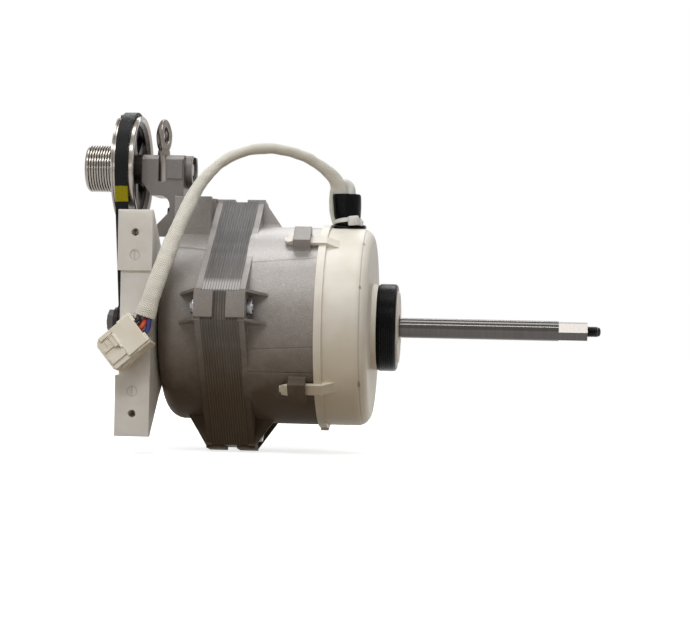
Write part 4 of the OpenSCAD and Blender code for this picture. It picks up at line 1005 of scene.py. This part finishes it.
def make_world(strength, top, low):
    """White where it is seen, and for the light it gives a grey that runs from low below to top above."""
    world = bpy.data.worlds.new("world")
    bpy.context.scene.world = world
    world.use_nodes = True
    tree = world.node_tree
    tree.nodes.clear()
    output = tree.nodes.new("ShaderNodeOutputWorld")
    choose = tree.nodes.new("ShaderNodeMixShader")
    seen = tree.nodes.new("ShaderNodeBackground")
    light = tree.nodes.new("ShaderNodeBackground")
    seen.inputs["Color"].default_value = (1, 1, 1, 1)
    seen.inputs["Strength"].default_value = 1
    light.inputs["Strength"].default_value = strength
    place = tree.nodes.new("ShaderNodeTexCoord")
    split = tree.nodes.new("ShaderNodeSeparateXYZ")
    ramp = tree.nodes.new("ShaderNodeMapRange")
    for socket, number in zip(ramp.inputs[1:5], (-0.4, 0.6, low, top)):
        socket.default_value = number
    tree.links.new(place.outputs["Generated"], split.inputs[0])
    tree.links.new(split.outputs["Z"], ramp.inputs[0])
    tree.links.new(ramp.outputs[0], light.inputs["Color"])
    tree.links.new(seen_straight(tree), choose.inputs[0])
    tree.links.new(light.outputs[0], choose.inputs[1])
    tree.links.new(seen.outputs[0], choose.inputs[2])
    tree.links.new(choose.outputs[0], output.inputs["Surface"])


def make_floor(height):
    """White with the object's shadow where it is seen, and a dull brown in the light it sends back."""
    mesh = bpy.data.meshes.new("floor")
    corners = [(x * 3, y * 3, height) for x, y in ((-1, -1), (1, -1), (1, 1), (-1, 1))]
    mesh.from_pydata(corners, [], [(0, 1, 2, 3)])
    material = bpy.data.materials.new("floor")
    material.use_nodes = True
    tree = material.node_tree
    tree.nodes.clear()
    output = tree.nodes.new("ShaderNodeOutputMaterial")
    paper = tree.nodes.new("ShaderNodeBsdfDiffuse")
    glow = tree.nodes.new("ShaderNodeEmission")
    both = tree.nodes.new("ShaderNodeAddShader")
    bench = tree.nodes.new("ShaderNodeBsdfDiffuse")
    choose = tree.nodes.new("ShaderNodeMixShader")
    paper.inputs["Color"].default_value = (0.8, 0.8, 0.8, 1)
    glow.inputs["Strength"].default_value = 0.76
    bench.inputs["Color"].default_value = (0.24, 0.18, 0.12, 1)
    tree.links.new(paper.outputs[0], both.inputs[0])
    tree.links.new(glow.outputs[0], both.inputs[1])
    tree.links.new(seen_straight(tree), choose.inputs[0])
    tree.links.new(bench.outputs[0], choose.inputs[1])
    tree.links.new(both.outputs[0], choose.inputs[2])
    tree.links.new(choose.outputs[0], output.inputs["Surface"])
    mesh.materials.append(material)
    floor = bpy.data.objects.new("floor", mesh)
    bpy.context.collection.objects.link(floor)
    return floor


def make_lamp(name, place, target, size, power, colour=(1, 1, 1)):
    """A soft box that is size[0] metres wide and size[1] high, turned to the target."""
    light = bpy.data.lights.new(name, "AREA")
    light.shape = "RECTANGLE"
    light.size, light.size_y = size
    light.energy = power
    light.color = colour
    lamp = bpy.data.objects.new(name, light)
    lamp.location = place
    lamp.rotation_euler = (Vector(target) - Vector(place)).to_track_quat("-Z", "Y").to_euler()
    bpy.context.collection.objects.link(lamp)
    return lamp


braided_sleeve = make_sleeve()
wires = make_wires()
connector = make_connector()
make_eye()
make_belt()
make_gland()
make_tie()
make_leads()
make_thread()
make_world(strength=0.46, top=0.7, low=0.08)
make_floor(FLOOR_Z)
make_lamp("back", (-0.13, 0.85, 0.85), (-0.13, 0, 0), (0.8, 0.14), 3.2)
make_lamp("top", (-0.13, -0.06, 1.2), (-0.13, 0, 0), (0.8, 0.42), 6.4)
make_lamp("front", (-0.13, -0.84, 0.86), (-0.13, 0, 0), (0.8, 0.12), 4.6)
make_lamp("left", (-1.0, -0.7, 0.35), (0, 0, 0), (0.6, 0.6), 0.9, (1, 0.98, 0.95))
make_lamp("right", (1.0, -0.35, 0.5), (0, 0, 0), (0.4, 0.4), 0.4, (1, 0.97, 0.92))
make_lamp("window", (-0.4, -1.12, 0.16), (-0.1, 0, 0), (0.5, 0.1), 0.5)
